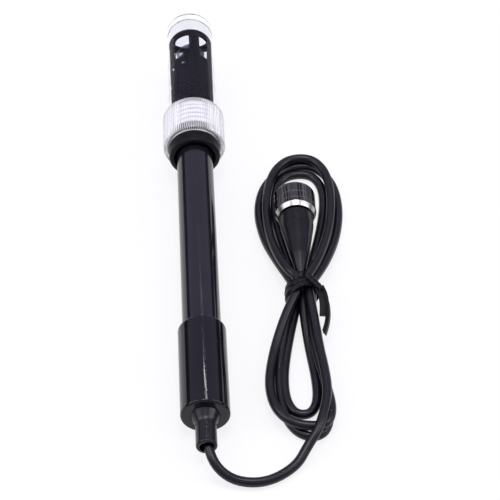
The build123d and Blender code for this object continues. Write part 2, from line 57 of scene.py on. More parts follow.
class Slot(Enum):
    """Names of material slots, paired with the bottle's pieces but not used to dress them."""

    CLEAR = "clear_plastic"
    LIQUID = "solution"
    CABLE = "cable_jacket"
    TIE = "tie_plastic"
    NICKEL = "nickel"
    BOOT = "boot_rubber"


class Body(Enum):
    """Bodies that new pieces ride on."""

    ELECTRODE = "electrode"
    BOTTLE = "bottle"
    CAP = "cap"
    NUT = "nut"


# Mesh and node helpers


def new_object(name: str, data: bpy.types.ID) -> bpy.types.Object:
    """Link a new object for some data.

    Args:
        name: Name of the piece.
        data: Mesh, curve, light or camera data.

    Returns:
        The linked object.
    """
    made = bpy.data.objects.new(name, data)
    bpy.context.scene.collection.objects.link(made)
    return made


def mesh_object(
    name: str,
    points: Sequence[Vector],
    faces: Sequence[Sequence[int]],
    sharp: float = 35.0,
) -> bpy.types.Object:
    """Make a smooth-shaded mesh piece with sharp edges where faces meet steeply.

    Args:
        name: Name of the piece.
        points: Corner places in metres.
        faces: Corner numbers of each face.
        sharp: Angle in degrees over which an edge is sharp.

    Returns:
        The new object.
    """
    mesh = bpy.data.meshes.new(name)
    mesh.from_pydata([tuple(point) for point in points], [], [tuple(face) for face in faces])
    shaping = bmesh.new()
    shaping.from_mesh(mesh)
    bmesh.ops.recalc_face_normals(shaping, faces=shaping.faces)
    shaping.to_mesh(mesh)
    shaping.free()
    mesh.shade_smooth()
    mesh.set_sharp_from_angle(angle=math.radians(sharp))
    return new_object(name, mesh)


def ring_faces(first: int, second: int, count: int) -> list[tuple[int, int, int, int]]:
    """Quads between two rings of corners.

    Args:
        first: Number of the first ring's first corner.
        second: Number of the second ring's first corner.
        count: Corners in a ring.

    Returns:
        The quads round the ring.
    """
    faces = []
    for step in range(count):
        after = (step + 1) % count
        faces.append((first + step, first + after, second + after, second + step))
    return faces


def ring_points(middle: Vector, radii: Sequence[float]) -> list[Vector]:
    """Corners of a ring that faces +Y.

    Args:
        middle: Middle of the ring, in millimetres.
        radii: Radius of each corner in millimetres, from +X towards +Z.

    Returns:
        The corners in metres.
    """
    made = []
    for step, radius in enumerate(radii):
        turn = FULL_TURN * step / len(radii)
        made.append(MM * (middle + radius * Vector((math.cos(turn), 0.0, math.sin(turn)))))
    return made


def smoothstep(value: float, low: float, high: float) -> float:
    """Smooth rise from 0 at low to 1 at high."""
    share = min(1.0, max(0.0, (value - low) / (high - low)))
    return share * share * (3 - 2 * share)


@dataclass(frozen=True)
class Axis:
    """The electrode's own axis, from the handle's end towards the tip.

    Attributes:
        base: Point at height 0, in millimetres.
        along: Direction of the axis.
        up: Upward direction across the axis.
    """

    base: Point = (0.0, -82.9737, 7.4777)
    along: Point = (0.0, 0.999682, 0.025209)
    up: Point = (0.0, -0.025209, 0.999682)

    def place(self, height: float, radius: float, turn: float) -> Vector:
        """Point in metres at a height, a radius and an angle from +X towards up."""
        side = Vector((math.cos(turn), 0.0, 0.0)) + math.sin(turn) * Vector(self.up)
        return MM * (Vector(self.base) + height * Vector(self.along) + radius * side)


AXIS = Axis()


def arc(middle: tuple[float, float], radius: float, start: float, end: float) -> list[tuple[float, float]]:
    """Points of a quarter round in a turned profile.

    Args:
        middle: Height and radius of the round's middle, in millimetres.
        radius: Radius of the round, in millimetres.
        start: First angle in degrees, from along the axis to outward.
        end: Last angle in degrees.

    Returns:
        Height and radius of each point.
    """
    made = []
    for step in range(ARC_STEPS + 1):
        turn = math.radians(start + (end - start) * step / ARC_STEPS)
        made.append((middle[0] + radius * math.cos(turn), middle[1] + radius * math.sin(turn)))
    return made


def turned(
    name: str,
    profile: Sequence[tuple[float, float]],
    count: int = 96,
    shape: Callable[[float, float, float], float] | None = None,
) -> bpy.types.Object:
    """Turn a profile round the electrode's axis.

    Args:
        name: Name of the piece.
        profile: Height and radius of each row, from one pole to the other, or a closed ring.
        count: Corners in a row.
        shape: Radius of a corner from its height, its row's radius and its angle.

    Returns:
        The new object.
    """
    points: list[Vector] = []
    starts: list[tuple[int, bool]] = []
    for height, radius in profile:
        pole = radius == 0.0
        starts.append((len(points), pole))
        for step in range(1 if pole else count):
            turn = FULL_TURN * step / count
            points.append(AXIS.place(height, shape(height, radius, turn) if shape else radius, turn))
    if not starts[0][1]:
        starts.append(starts[0])
    faces: Faces = []
    for (first, first_pole), (second, second_pole) in zip(starts, starts[1:]):
        if first_pole and second_pole:
            continue
        if first_pole or second_pole:
            pole, ring = (first, second) if first_pole else (second, first)
            faces += [(pole, ring + step, ring + (step + 1) % count) for step in range(count)]
        else:
            faces += ring_faces(first, second, count)
    return mesh_object(name, points, faces)


class Tree:
    """A node tree that nodes and links are added to by plain calls."""

    def __init__(self, tree: bpy.types.NodeTree) -> None:
        """Keep the tree that is built."""
        self.tree = tree

    def add(self, kind: str, **values: object) -> bpy.types.Node:
        """Add a node.

        Args:
            kind: Blender's name of the node type.
            values: Attributes of the node, or input values where the name is an input's.

        Returns:
            The new node.
        """
        node = self.tree.nodes.new(kind)
        for name, value in values.items():
            if hasattr(node, name):
                setattr(node, name, value)
            else:
                self.feed(node.inputs[name.replace("_", " ")], value)
        return node

    def feed(self, socket: bpy.types.NodeSocket, value: object) -> None:
        """Link a socket to another, or set its value.

        Args:
            socket: The input.
            value: An output to link, or a number, colour or vector to set.
        """
        if isinstance(value, bpy.types.NodeSocket):
            self.tree.links.new(value, socket)
        elif socket.type == "RGBA" and len(value) == 3:
            socket.default_value = (*value, 1.0)
        else:
            socket.default_value = value

    def fill(self, kind: str, values: Sequence[object], **options: object) -> bpy.types.Node:
        """Add a node and feed its first inputs in order.

        Args:
            kind: Blender's name of the node type.
            values: What the inputs get.
            options: Attributes of the node.

        Returns:
            The new node.
        """
        node = self.add(kind, **options)
        for socket, value in zip(node.inputs, values):
            self.feed(socket, value)
        return node

    def math(self, operation: str, *values: object) -> bpy.types.NodeSocket:
        """Add a math node and return its result."""
        return self.fill("ShaderNodeMath", values, operation=operation).outputs[0]

    def span(self, value: object, low: float, high: float, start: float, end: float) -> bpy.types.NodeSocket:
        """Map a range of values onto another, clamped, and return the result."""
        return self.fill("ShaderNodeMapRange", (value, low, high, start, end)).outputs[0]

    def vector(self, operation: str, first: object, second: object) -> bpy.types.Node:
        """Add a vector math node."""
        return self.fill("ShaderNodeVectorMath", (first, second), operation=operation)

    def layer(self, share: object, first: object, second: object) -> bpy.types.NodeSocket:
        """Mix two shaders by a share and return the result."""
        return self.fill("ShaderNodeMixShader", (share, first, second)).outputs[0]

    def blend(self, share: object, first: object, second: object) -> bpy.types.NodeSocket:
        """Mix two colours.

        Args:
            share: Share of the second colour.
            first: The first colour.
            second: The second colour.

        Returns:
            The mixed colour.
        """
        node = self.add("ShaderNodeMix", data_type="RGBA")
        self.feed(node.inputs["Factor"], share)
        self.feed(node.inputs[6], first)
        self.feed(node.inputs[7], second)
        return node.outputs[2]

    def seen_by(self, *rays: str) -> bpy.types.NodeSocket:
        """Mask of some kinds of ray.

        Args:
            rays: Outputs of the light path node.

        Returns:
            1 for a ray of one of those kinds, else 0.
        """
        path = self.add("ShaderNodeLightPath")
        mask = path.outputs[rays[0]]
        for ray in rays[1:]:
            mask = self.math("MAXIMUM", mask, path.outputs[ray])
        return mask


class Effect(Enum):
    """Shared surface effects, each built once as a node group."""

    MOULDED = "moulded_skin"
    STREAKS = "lengthwise_streaks"
    SPECKS = "dust_specks"
    AXIS = "place_on_axis"


class EffectShelf:
    """Builds the shared effects as node groups and hands them out."""

    def __init__(self) -> None:
        """Start with no effect built."""
        self.groups: dict[Effect, bpy.types.NodeTree] = {}

    def get(self, effect: Effect) -> bpy.types.NodeTree:
        """The group of an effect, built at its first use.

        Args:
            effect: The effect.

        Returns:
            Its group.
        """
        if effect not in self.groups:
            makers = {
                Effect.MOULDED: self.moulded_skin,
                Effect.STREAKS: self.lengthwise_streaks,
                Effect.SPECKS: self.dust_specks,
                Effect.AXIS: self.place_on_axis,
            }
            self.groups[effect] = makers[effect]()
        return self.groups[effect]

    @staticmethod
    def start(
        effect: Effect,
        inputs: dict[str, float],
        outputs: Sequence[str],
    ) -> tuple[Tree, bpy.types.Node, bpy.types.Node]:
        """Start a group with a vector, number inputs and number outputs.

        Args:
            effect: The effect that names the group.
            inputs: Number inputs with their defaults.
            outputs: Names of the number outputs.

        Returns:
            The tree, its input node and its output node.
        """
        group = bpy.data.node_groups.new(effect.value, "ShaderNodeTree")
        group.interface.new_socket(name="Vector", in_out="INPUT", socket_type="NodeSocketVector")
        for name, value in inputs.items():
            socket = group.interface.new_socket(name=name, in_out="INPUT", socket_type="NodeSocketFloat")
            socket.default_value = value
        for name in outputs:
            group.interface.new_socket(name=name, in_out="OUTPUT", socket_type="NodeSocketFloat")
        tree = Tree(group)
        return tree, tree.add("NodeGroupInput"), tree.add("NodeGroupOutput")

    def moulded_skin(self) -> bpy.types.NodeTree:
        """Fine grain over soft unevenness, as on moulded plastic and rubber.

        Returns:
            The group.
        """
        inputs = {"Grain": 2600.0, "Unevenness": 120.0}
        grain_detail, broad_detail = 3.0, 4.0
        grain_share, broad_share = 0.4, 0.6
        mottle_from, mottle_to = 0.3, 0.7
        tree, given, out = self.start(Effect.MOULDED, inputs, ("Mottle", "Height"))
        place = given.outputs["Vector"]
        fine, wide = given.outputs["Grain"], given.outputs["Unevenness"]
        grain = tree.add("ShaderNodeTexNoise", Vector=place, Scale=fine, Detail=grain_detail)
        broad = tree.add("ShaderNodeTexNoise", Vector=place, Scale=wide, Detail=broad_detail)
        tree.feed(out.inputs["Mottle"], tree.span(broad.outputs[0], mottle_from, mottle_to, 0.0, 1.0))
        low = tree.math("MULTIPLY", broad.outputs[0], broad_share)
        tree.feed(out.inputs["Height"], tree.math("MULTIPLY_ADD", grain.outputs[0], grain_share, low))
        return tree.tree

    def lengthwise_streaks(self) -> bpy.types.NodeTree:
        """Long faint streaks along the electrode, as drawn tube and wiped plastic have.

        Returns:
            The group.
        """
        inputs = {"Across": 900.0, "Along": 14.0}
        streak_detail = 3.0
        streak_from, streak_to = 0.42, 0.68
        tree, given, out = self.start(Effect.STREAKS, inputs, ("Mask",))
        across, along = given.outputs["Across"], given.outputs["Along"]
        stretch = tree.fill("ShaderNodeCombineXYZ", (across, along, across))
        scaled = tree.vector("MULTIPLY", given.outputs["Vector"], stretch.outputs[0])
        lines = tree.add("ShaderNodeTexNoise", Vector=scaled.outputs[0], Scale=1.0, Detail=streak_detail)
        tree.feed(out.inputs["Mask"], tree.span(lines.outputs[0], streak_from, streak_to, 0.0, 1.0))
        return tree.tree

    def dust_specks(self) -> bpy.types.NodeTree:
        """Sparse tiny specks of dust.

        Returns:
            The group.
        """
        inputs = {"Density": 700.0, "Size": 0.12}
        patch_scale, patch_over = 160.0, 0.62
        tree, given, out = self.start(Effect.SPECKS, inputs, ("Mask",))
        place = given.outputs["Vector"]
        cells = tree.add("ShaderNodeTexVoronoi", Vector=place, Scale=given.outputs["Density"])
        keep = tree.add("ShaderNodeTexNoise", Vector=place, Scale=patch_scale)
        small = tree.math("LESS_THAN", cells.outputs["Distance"], given.outputs["Size"])
        rare = tree.math("GREATER_THAN", keep.outputs[0], patch_over)
        tree.feed(out.inputs["Mask"], tree.math("MULTIPLY", small, rare))
        return tree.tree

    def place_on_axis(self) -> bpy.types.NodeTree:
        """Height along the electrode's axis, in metres, and share of a turn round it.

        Returns:
            The group.
        """
        tree, given, out = self.start(Effect.AXIS, {}, ("Height", "Turn"))
        base = tuple(MM * part for part in AXIS.base)
        start = tree.vector("SUBTRACT", given.outputs["Vector"], base).outputs["Vector"]
        parts = []
        for direction in (AXIS.along, AXIS.up, (1.0, 0.0, 0.0)):
            parts.append(tree.vector("DOT_PRODUCT", start, direction).outputs["Value"])
        height, up, across = parts
        tree.feed(out.inputs["Height"], height)
        tree.feed(out.inputs["Turn"], tree.math("DIVIDE", tree.math("ARCTAN2", up, across), FULL_TURN))
        return tree.tree


EFFECTS = EffectShelf()


# Finishes


DUST_COLOUR: Colour = (0.5, 0.5, 0.52)
STREAK_LIFT = 2.0


class Surface(Tree):
    """The nodes of a new material, with its shader and its output."""

    def __init__(self, name: str) -> None:
        """Start a material.

        Args:
            name: Name of the material.
        """
        self.made = bpy.data.materials.new(name)
        self.made.use_nodes = True
        super().__init__(self.made.node_tree)
        self.shader = self.tree.nodes["Principled BSDF"]
        self.out = self.tree.nodes["Material Output"]

    def place(self) -> bpy.types.NodeSocket:
        """Add the place on the object and return it."""
        return self.add("ShaderNodeTexCoord").outputs["Object"]

    def effect(self, effect: Effect, place: bpy.types.NodeSocket, **inputs: float) -> bpy.types.Node:
        """Add a shared effect.

        Args:
            effect: The effect.
            place: The place on the object.
            inputs: Numbers for the effect's own inputs.

        Returns:
            The effect's node.
        """
        node = self.add("ShaderNodeGroup", node_tree=EFFECTS.get(effect))
        self.feed(node.inputs["Vector"], place)
        for name, value in inputs.items():
            self.feed(node.inputs[name], value)
        return node

    def wave(self, spot: bpy.types.Node, count: int) -> bpy.types.NodeSocket:
        """Cosine that comes back a number of times in a turn round the axis."""
        return self.math("COSINE", self.math("MULTIPLY", spot.outputs["Turn"], FULL_TURN * count))

    def gloss(self, skin: bpy.types.Node, roughness: tuple[float, float]) -> None:
        """Vary the shader's roughness over the skin's mottle."""
        self.feed(self.shader.inputs["Roughness"], self.span(skin.outputs["Mottle"], 0.0, 1.0, *roughness))

    def bump(self, skin: bpy.types.Node, depth: float) -> None:
        """Raise the shader's surface by the skin's height."""
        node = self.add("ShaderNodeBump", Distance=depth, Height=skin.outputs["Height"])
        self.feed(self.shader.inputs["Normal"], node.outputs[0])

    def show(self, look: bpy.types.NodeSocket) -> None:
        """Make a shader the material's surface."""
        self.feed(self.out.inputs["Surface"], look)


@dataclass(frozen=True)
class SolidFinish:
    """Opaque plastic, rubber, ceramic or wire with a moulded skin.

    Attributes:
        name: Name of the material.
        colour: Base colour.
        pale: Colour that the mottle and streaks lean to.
        roughness: Lowest and highest roughness over the mottle.
        metallic: Metallic value.
        ior: Index of refraction.
        grain: Scale of the fine grain per metre.
        unevenness: Scale of the soft unevenness per metre.
        bump: Depth of the skin in metres.
        streak: Share of the pale colour in the lengthwise streaks.
        dust: Share of pale dust specks.
        wet_from: Place along the electrode, in metres, past which it is wet and mirrors nothing.
    """

    name: str
    colour: Colour
    pale: Colour
    roughness: tuple[float, float]
    metallic: float = 0.0
    ior: float = 1.5
    grain: float = 2600.0
    unevenness: float = 120.0
    bump: float = 0.00002
    streak: float = 0.0
    dust: float = 0.0
    wet_from: float | None = None

    def material(self) -> bpy.types.Material:
        """Build the material.

        Returns:
            The new material.
        """
        surface = Surface(self.name)
        shader, place = surface.shader, surface.place()
        skin = surface.effect(Effect.MOULDED, place, Grain=self.grain, Unevenness=self.unevenness)
        colour = surface.blend(skin.outputs["Mottle"], self.colour, self.pale)
        if self.streak:
            streaks = surface.effect(Effect.STREAKS, place)
            share = surface.math("MULTIPLY", streaks.outputs["Mask"], self.streak)
            colour = surface.blend(share, colour, tuple(STREAK_LIFT * part for part in self.pale))
        if self.dust:
            specks = surface.effect(Effect.SPECKS, place)
            share = surface.math("MULTIPLY", specks.outputs["Mask"], self.dust)
            colour = surface.blend(share, colour, DUST_COLOUR)
        surface.feed(shader.inputs["Base Color"], colour)
        surface.gloss(skin, self.roughness)
        shader.inputs["Metallic"].default_value = self.metallic
        shader.inputs["IOR"].default_value = self.ior
        surface.bump(skin, self.bump)
        if self.wet_from is not None:
            wet = surface.add("ShaderNodeBsdfDiffuse", Color=colour)
            along = surface.add("ShaderNodeSeparateXYZ", Vector=place).outputs["Y"]
            share = surface.math("GREATER_THAN", along, self.wet_from)
            surface.show(surface.layer(share, shader.outputs[0], wet.outputs[0]))
        return surface.made


@dataclass(frozen=True)
class ThreadFinish:
    """Milky threaded neck: pale on the thread's crest, with painted shade in its root that pale breaks of
    painted light cross at the cap's rib spacing.

    Attributes:
        name: Name of the material.
        crest: Colour of the thread's crest.
        root: Colour between the turns, a dark painted shade in the thread's root.
        pitch: Lift of the thread in a turn, in metres.
        roughness: Roughness of the surface.
        painted_light_breaks: How many breaks of painted light cross the root's painted shade in a turn, one
            for each of the cap's ribs.
        painted_light_break: How pale a break of painted light is, between the root and the crest.
        flank: Shares of the pitch from the crest between which the root gives way to it.
        painted_light_rise: Heights of the breaks' wave between which a break of painted light sets in.
        bump: Depth of the skin in metres.
    """

    name: str
    crest: Colour
    root: Colour
    pitch: float = 0.0021
    roughness: float = 0.35
    painted_light_breaks: int = 84
    painted_light_break: float = 0.2
    flank: tuple[float, float] = (0.4, 0.2)
    painted_light_rise: tuple[float, float] = (-0.2, 0.4)
    bump: float = 0.00001

    def material(self) -> bpy.types.Material:
        """Build the material.

        Returns:
            The new material.
        """
        surface = Surface(self.name)
        shader, place = surface.shader, surface.place()
        spot = surface.effect(Effect.AXIS, place)
        lift = surface.math("DIVIDE", spot.outputs["Height"], self.pitch)
        phase = surface.math("FRACT", surface.math("ADD", lift, spot.outputs["Turn"]))
        from_crest = surface.math("ABSOLUTE", surface.math("SUBTRACT", phase, 0.5))
        # Painted shade in the thread's root, broken by pale painted light once for each of the cap's ribs.
        crest = surface.span(from_crest, *self.flank, 0.0, 1.0)
        painted_light_break = surface.span(surface.wave(spot, self.painted_light_breaks), *self.painted_light_rise, 0.0, self.painted_light_break)
        crest = surface.math("MAXIMUM", crest, painted_light_break)
        surface.feed(shader.inputs["Base Color"], surface.blend(crest, self.root, self.crest))
        shader.inputs["Roughness"].default_value = self.roughness
        surface.bump(surface.effect(Effect.MOULDED, place), self.bump)
        return surface.made


@dataclass(frozen=True)
class ClearFinish:
    """Clear plastic, glass or liquid that lets its shadow through.

    Attributes:
        name: Name of the material.
        tint: Colour of the light that passes.
        ior: Index of refraction.
        roughness: Lowest and highest roughness over the skin's mottle.
        shade: How much of the light a shadow ray loses.
        blue_shade: Share of that loss for blue light.
        unevenness: Scale of the soft unevenness per metre.
        faint: How much of the tint is left where the mottle is strongest.
        mirror: Share of the surface's mirror reflection that stays.
        ribs: How many ribs run round it along the axis.
        rib_rise: Heights of the ribs' wave between which a ridge sets in.
        ridge: Share of white scatter on the ribs' ridges.
        painted_groove_shade: Colour of the light that passes between the ribs, darker than the tint as
            painted shade in the grooves.
    """

    name: str
    tint: Colour
    ior: float
    roughness: tuple[float, float] = (0.0, 0.02)
    shade: float = 0.12
    blue_shade: float = 0.9
    unevenness: float = 200.0
    faint: float = 0.97
    mirror: float = 1.0
    ribs: int = 0
    rib_rise: tuple[float, float] = (0.1, 0.8)
    ridge: float = 0.0
    painted_groove_shade: Colour = WHITE

    def material(self) -> bpy.types.Material:
        """Build the material.

        Returns:
            The new material.
        """
        surface = Surface(self.name)
        shader, place = surface.shader, surface.place()
        skin = surface.effect(Effect.MOULDED, place, Unevenness=self.unevenness)
        faint = tuple(self.faint * part for part in self.tint)
        colour = surface.blend(skin.outputs["Mottle"], self.tint, faint)
        look = shader.outputs[0]
        if self.ribs:
            wave = surface.wave(surface.effect(Effect.AXIS, place), self.ribs)
            ridge = surface.span(wave, *self.rib_rise, 0.0, 1.0)
            # The grooves between the ribs get painted shade: a darker tint than on the ridges.
            colour = surface.blend(ridge, self.painted_groove_shade, colour)
            white = surface.add("ShaderNodeBsdfDiffuse", Color=self.tint)
            look = surface.layer(surface.math("MULTIPLY", ridge, self.ridge), look, white.outputs[0])
        if self.mirror < 1.0:
            bent = surface.add("ShaderNodeBsdfRefraction", Color=colour, IOR=self.ior)
            look = surface.layer(self.mirror, bent.outputs[0], look)
        surface.feed(shader.inputs["Base Color"], colour)
        surface.gloss(skin, self.roughness)
        shader.inputs["IOR"].default_value = self.ior
        shader.inputs["Transmission Weight"].default_value = 1.0
        left = 1.0 - self.shade
        blue_left = 1.0 - self.blue_shade * self.shade
        through = surface.add("ShaderNodeBsdfTransparent", Color=(left, left, blue_left))
        surface.show(surface.layer(surface.seen_by("Is Shadow Ray"), look, through.outputs[0]))
        return surface.made


SHAFT_PLASTIC = SolidFinish(
    "shaft_plastic",
    (0.006, 0.0055, 0.009),
    (0.008, 0.0075, 0.012),
    (0.10, 0.16),
    streak=0.25,
    dust=0.12,
    wet_from=0.0359,
)
HANDLE_PLASTIC = SolidFinish(
    "handle_plastic", (0.005, 0.0047, 0.0075), (0.007, 0.0065, 0.010), (0.05, 0.08),
    ior=1.38, bump=0.000002, dust=0.10,
)
BOSS_RUBBER = SolidFinish(
    "boss_rubber", (0.005, 0.005, 0.007), (0.008, 0.0075, 0.010), (0.2, 0.3),
    ior=1.42, bump=0.00003,
)
SEAL_RUBBER = SolidFinish(
    "seal_rubber", (0.003, 0.003, 0.0036), (0.005, 0.005, 0.006), (0.36, 0.46),
    ior=1.25, bump=0.00003,
)
INNER_RUBBER = SolidFinish("inner_rubber", (0.045, 0.045, 0.05), (0.06, 0.06, 0.066), (0.5, 0.65))
SILVER = SolidFinish("silver_wire", (0.62, 0.61, 0.59), (0.42, 0.38, 0.36), (0.3, 0.5), metallic=1.0)
CERAMIC = SolidFinish("junction_ceramic", (0.82, 0.81, 0.77), (0.72, 0.71, 0.67), (0.7, 0.85), bump=0.00004)
CORE = SolidFinish("core_insulation", (0.78, 0.78, 0.75), (0.7, 0.7, 0.67), (0.4, 0.55))
COPPER = SolidFinish("copper_screen", (0.75, 0.40, 0.24), (0.55, 0.28, 0.17), (0.25, 0.4), metallic=1.0)
NICKEL = SolidFinish(
    "nickel_plate", (0.70, 0.69, 0.67), (0.60, 0.59, 0.58), (0.05, 0.12),
    metallic=1.0, bump=0.000004,
)
# Darkened copy of the nickel plating for the nut's flutes: painted shade in place of the dark surroundings
# they mirror.
SHADED_GRIP_NICKEL = SolidFinish(
    "shaded_grip_nickel", (0.06, 0.059, 0.055), (0.15, 0.147, 0.138), (0.06, 0.14),
    metallic=1.0, bump=0.000004,
)
# Dimmer, rougher copy of the same nickel for the nut's rear slope: milder painted shade.
DIMMED_REAR_NICKEL = SolidFinish(
    "dimmed_rear_nickel", (0.50, 0.49, 0.47), (0.42, 0.41, 0.40), (0.24, 0.30),
    metallic=1.0, bump=0.000002,
)
INSULATOR = SolidFinish("insulator_white", (0.86, 0.86, 0.84), (0.8, 0.8, 0.78), (0.35, 0.45))
GOLD = SolidFinish("contact_gold", (0.85, 0.62, 0.25), (0.75, 0.52, 0.2), (0.12, 0.22), metallic=1.0)
STEEL = SolidFinish("spring_steel", (0.55, 0.55, 0.56), (0.42, 0.42, 0.44), (0.2, 0.35), metallic=1.0)
BOOT_RUBBER = SolidFinish(
    "boot_rubber", (0.004, 0.004, 0.0055), (0.007, 0.007, 0.009), (0.26, 0.36),
    ior=1.34, bump=0.00003,
)
CABLE_JACKET = SolidFinish(
    "cable_jacket", (0.004, 0.0038, 0.0058), (0.0055, 0.0052, 0.0075), (0.27, 0.35), ior=1.4, bump=0.000006
)
TIE_PLASTIC = SolidFinish(
    "tie_plastic", (0.002, 0.002, 0.003), (0.004, 0.004, 0.005), (0.3, 0.45),
    ior=1.25, bump=0.00004,
)
CLEAR_BOTTLE = ClearFinish("clear_bottle", (0.97, 0.97, 0.99), 1.2, (0.0, 0.03), mirror=0.4)
# The darker tint between the cap's ribs is painted shade.
CLEAR_CAP = ClearFinish(
    "clear_cap", (0.99, 0.99, 1.0), 1.35, (0.0, 0.03), ribs=84, ridge=0.4, painted_groove_shade=(0.9, 0.9, 0.93)
)
# The second colour is painted shade for the thread's root; the finish's defaults add the pale breaks of
# painted light in it.
MILKY_NECK = ThreadFinish("milky_neck", (0.74, 0.74, 0.77), (0.015, 0.015, 0.03))
LIQUID = ClearFinish("storage_liquid", (0.97, 0.975, 0.995), 1.09, (0.0, 0.0), shade=0.06)
# Bluish glass whose tint is darkened as painted shade for the dark inside of the tip's guard.
SHADED_STEM_GLASS = ClearFinish("stem_glass", (0.30, 0.34, 0.43), 1.13, (0.0, 0.01))
BUBBLE_AIR = ClearFinish("bubble_air", WHITE, 0.75, (0.0, 0.0), shade=0.02)

NODE_FINISHES: dict[SolidFinish | ClearFinish, tuple[str, ...]] = {
    SHAFT_PLASTIC: ("body_tube",),
    HANDLE_PLASTIC: ("handle_cap",),
    BOSS_RUBBER: ("strain_relief",),
    SEAL_RUBBER: ("cap_seal", "plug_gasket"),
    INNER_RUBBER: ("stem_plug", "top_seal", "tip_seal"),
    SILVER: ("inner_element", "reference_element"),
    CERAMIC: ("junction",),
    CORE: ("core_lead",),
    COPPER: ("shield_lead",),
    NICKEL: ("coupling_nut", "plug_shell", "crimp_ferrule"),
    INSULATOR: ("plug_insulator",),
    GOLD: ("centre_pin",),
    STEEL: ("spring_washer", "retaining_ring"),
    BOOT_RUBBER: ("plug_boot",),
    SHADED_STEM_GLASS: ("glass_stem",),
}


def dress(piece: bpy.types.Object, finish: bpy.types.Material) -> None:
    """Give a piece one material all over."""
    piece.data.materials.clear()
    piece.data.materials.append(finish)


# Camera, light and table


@dataclass(frozen=True)
class PhotoCamera:
    """Camera that looks down on the table as the photograph does.

    Attributes:
        azimuth: Heading in degrees, from +Y towards +X.
        elevation: Height of the view above the table, in degrees.
        distance: Distance from the aim point, in metres.
        aim: Point at the middle of the picture.
        focal_px: Focal length in pixels of the picture.
        image_px: Side of the square picture, in pixels.
        sensor: Sensor width in millimetres.
        clip: Nearest and farthest distance that is seen, in metres.
    """

    azimuth: float = 2.746
    elevation: float = 45.0
    distance: float = 0.62775
    aim: Point = (0.01647, -0.01452, 0.0080)
    focal_px: float = 1958.8
    image_px: float = 500.0
    sensor: float = 36.0
    clip: tuple[float, float] = (0.05, 50.0)

    def build(self) -> bpy.types.Object:
        """Make the camera and set it as the scene's.

        Returns:
            The camera object.
        """
        data = bpy.data.cameras.new("photo_camera")
        data.sensor_fit = "HORIZONTAL"
        data.sensor_width = self.sensor
        data.lens = self.focal_px / self.image_px * self.sensor
        data.clip_start, data.clip_end = self.clip
        made = new_object("photo_camera", data)
        heading = math.radians(self.azimuth)
        drop = math.radians(self.elevation)
        level = math.cos(drop)
        forward = Vector((math.sin(heading) * level, math.cos(heading) * level, -math.sin(drop)))
        made.location = Vector(self.aim) - forward * self.distance
        made.rotation_euler = forward.to_track_quat("-Z", "Y").to_euler()
        bpy.context.scene.camera = made
        return made


@dataclass(frozen=True)
class Lamp:
    """One soft rectangular lamp.

    Attributes:
        name: Name of the lamp.
        place: Where it hangs, in metres.
        size: Width and height in metres.
        power: Power in watts.
        colour: Colour of the light.
    """

    name: str
    place: Point
    size: tuple[float, float]
    power: float
    colour: Colour = WHITE

    def build(self, target: Vector) -> bpy.types.Object:
        """Hang the lamp so that it faces a target.

        Args:
            target: Point that the lamp faces.

        Returns:
            The lamp object.
        """
        data = bpy.data.lights.new(self.name, "AREA")
        data.shape = "RECTANGLE"
        data.size, data.size_y = self.size
        data.energy = self.power
        data.color = self.colour
        made = new_object(self.name, data)
        made.location = self.place
        made.rotation_euler = (target - Vector(self.place)).to_track_quat("-Z", "Y").to_euler()
        return made


@dataclass
class Studio:
    """White table and soft light.

    Attributes:
        floor_reach: Half the side of the table, in metres.
        floor_colour: Colour of the table where it is lit.
        floor_glow: Share of the table's white that its shadow doesn't touch.
        horizon: Colour of the surroundings near the table's edge.
        sky: Colour of the surroundings overhead.
        sky_rise: Upward parts of a direction between which the sky sets in.
        lamps: The lamps.
    """

    floor_reach: float = 4.0
    floor_colour: Colour = (0.93, 0.93, 0.92)
    floor_glow: float = 0.8
    horizon: Colour = (0.03, 0.03, 0.035)
    sky: Colour = (0.55, 0.51, 0.70)
    sky_rise: tuple[float, float] = (0.22, 0.32)
    lamps: tuple[Lamp, ...] = (
        Lamp("left_softbox", (-1.3, 0.1, 1.2), (0.9, 1.4), 9.5, (0.98, 0.98, 1.0)),
        Lamp("right_softbox", (1.3, -0.1, 1.1), (0.7, 1.4), 8.5),
        Lamp("top_softbox", (0.0, 0.1, 1.9), (0.9, 0.7), 13.0),
        Lamp("back_strip", (0.168, 1.094, 1.501), (0.3, 0.012), 0.5),
    )

    def build(self) -> None:
        """Make the table, the world and the lamps."""
        self.floor()
        self.world()
        for lamp in self.lamps:
            lamp.build(Vector((0.0, 0.0, 0.0)))

    def floor(self) -> None:
        """Make the table: part white of its own where it is seen, part lit, so that shadows stay."""
        reach = self.floor_reach
        corners = ((-reach, -reach), (reach, -reach), (reach, reach), (-reach, reach))
        table = mesh_object("table", [Vector((x, y, 0.0)) for x, y in corners], [(0, 1, 2, 3)])
        surface = Surface("white_table")
        surface.tree.nodes.remove(surface.shader)
        lit = surface.add("ShaderNodeBsdfDiffuse", Color=self.floor_colour)
        glow = surface.add("ShaderNodeEmission", Color=WHITE, Strength=1.0)
        seen = surface.seen_by("Is Camera Ray", "Is Transmission Ray", "Is Glossy Ray")
        share = surface.math("MULTIPLY", seen, self.floor_glow)
        surface.show(surface.layer(share, lit.outputs[0], glow.outputs[0]))
        dress(table, surface.made)

    def world(self) -> None:
        """Make the surroundings: white where they are seen, else dark low down and pale overhead."""
        made = bpy.data.worlds.new("studio")
        bpy.context.scene.world = made
        made.use_nodes = True
        tree = Tree(made.node_tree)
        light = made.node_tree.nodes["Background"]
        place = tree.add("ShaderNodeTexCoord").outputs["Generated"]
        direction = tree.add("ShaderNodeSeparateXYZ", Vector=place)
        overhead = tree.span(direction.outputs["Z"], *self.sky_rise, 0.0, 1.0)
        seen = tree.seen_by("Is Camera Ray", "Is Transmission Ray")
        around = tree.blend(overhead, self.horizon, self.sky)
        tree.feed(light.inputs["Color"], tree.blend(seen, around, WHITE))
        bpy.context.scene.view_settings.view_transform = "Standard"


# The lead


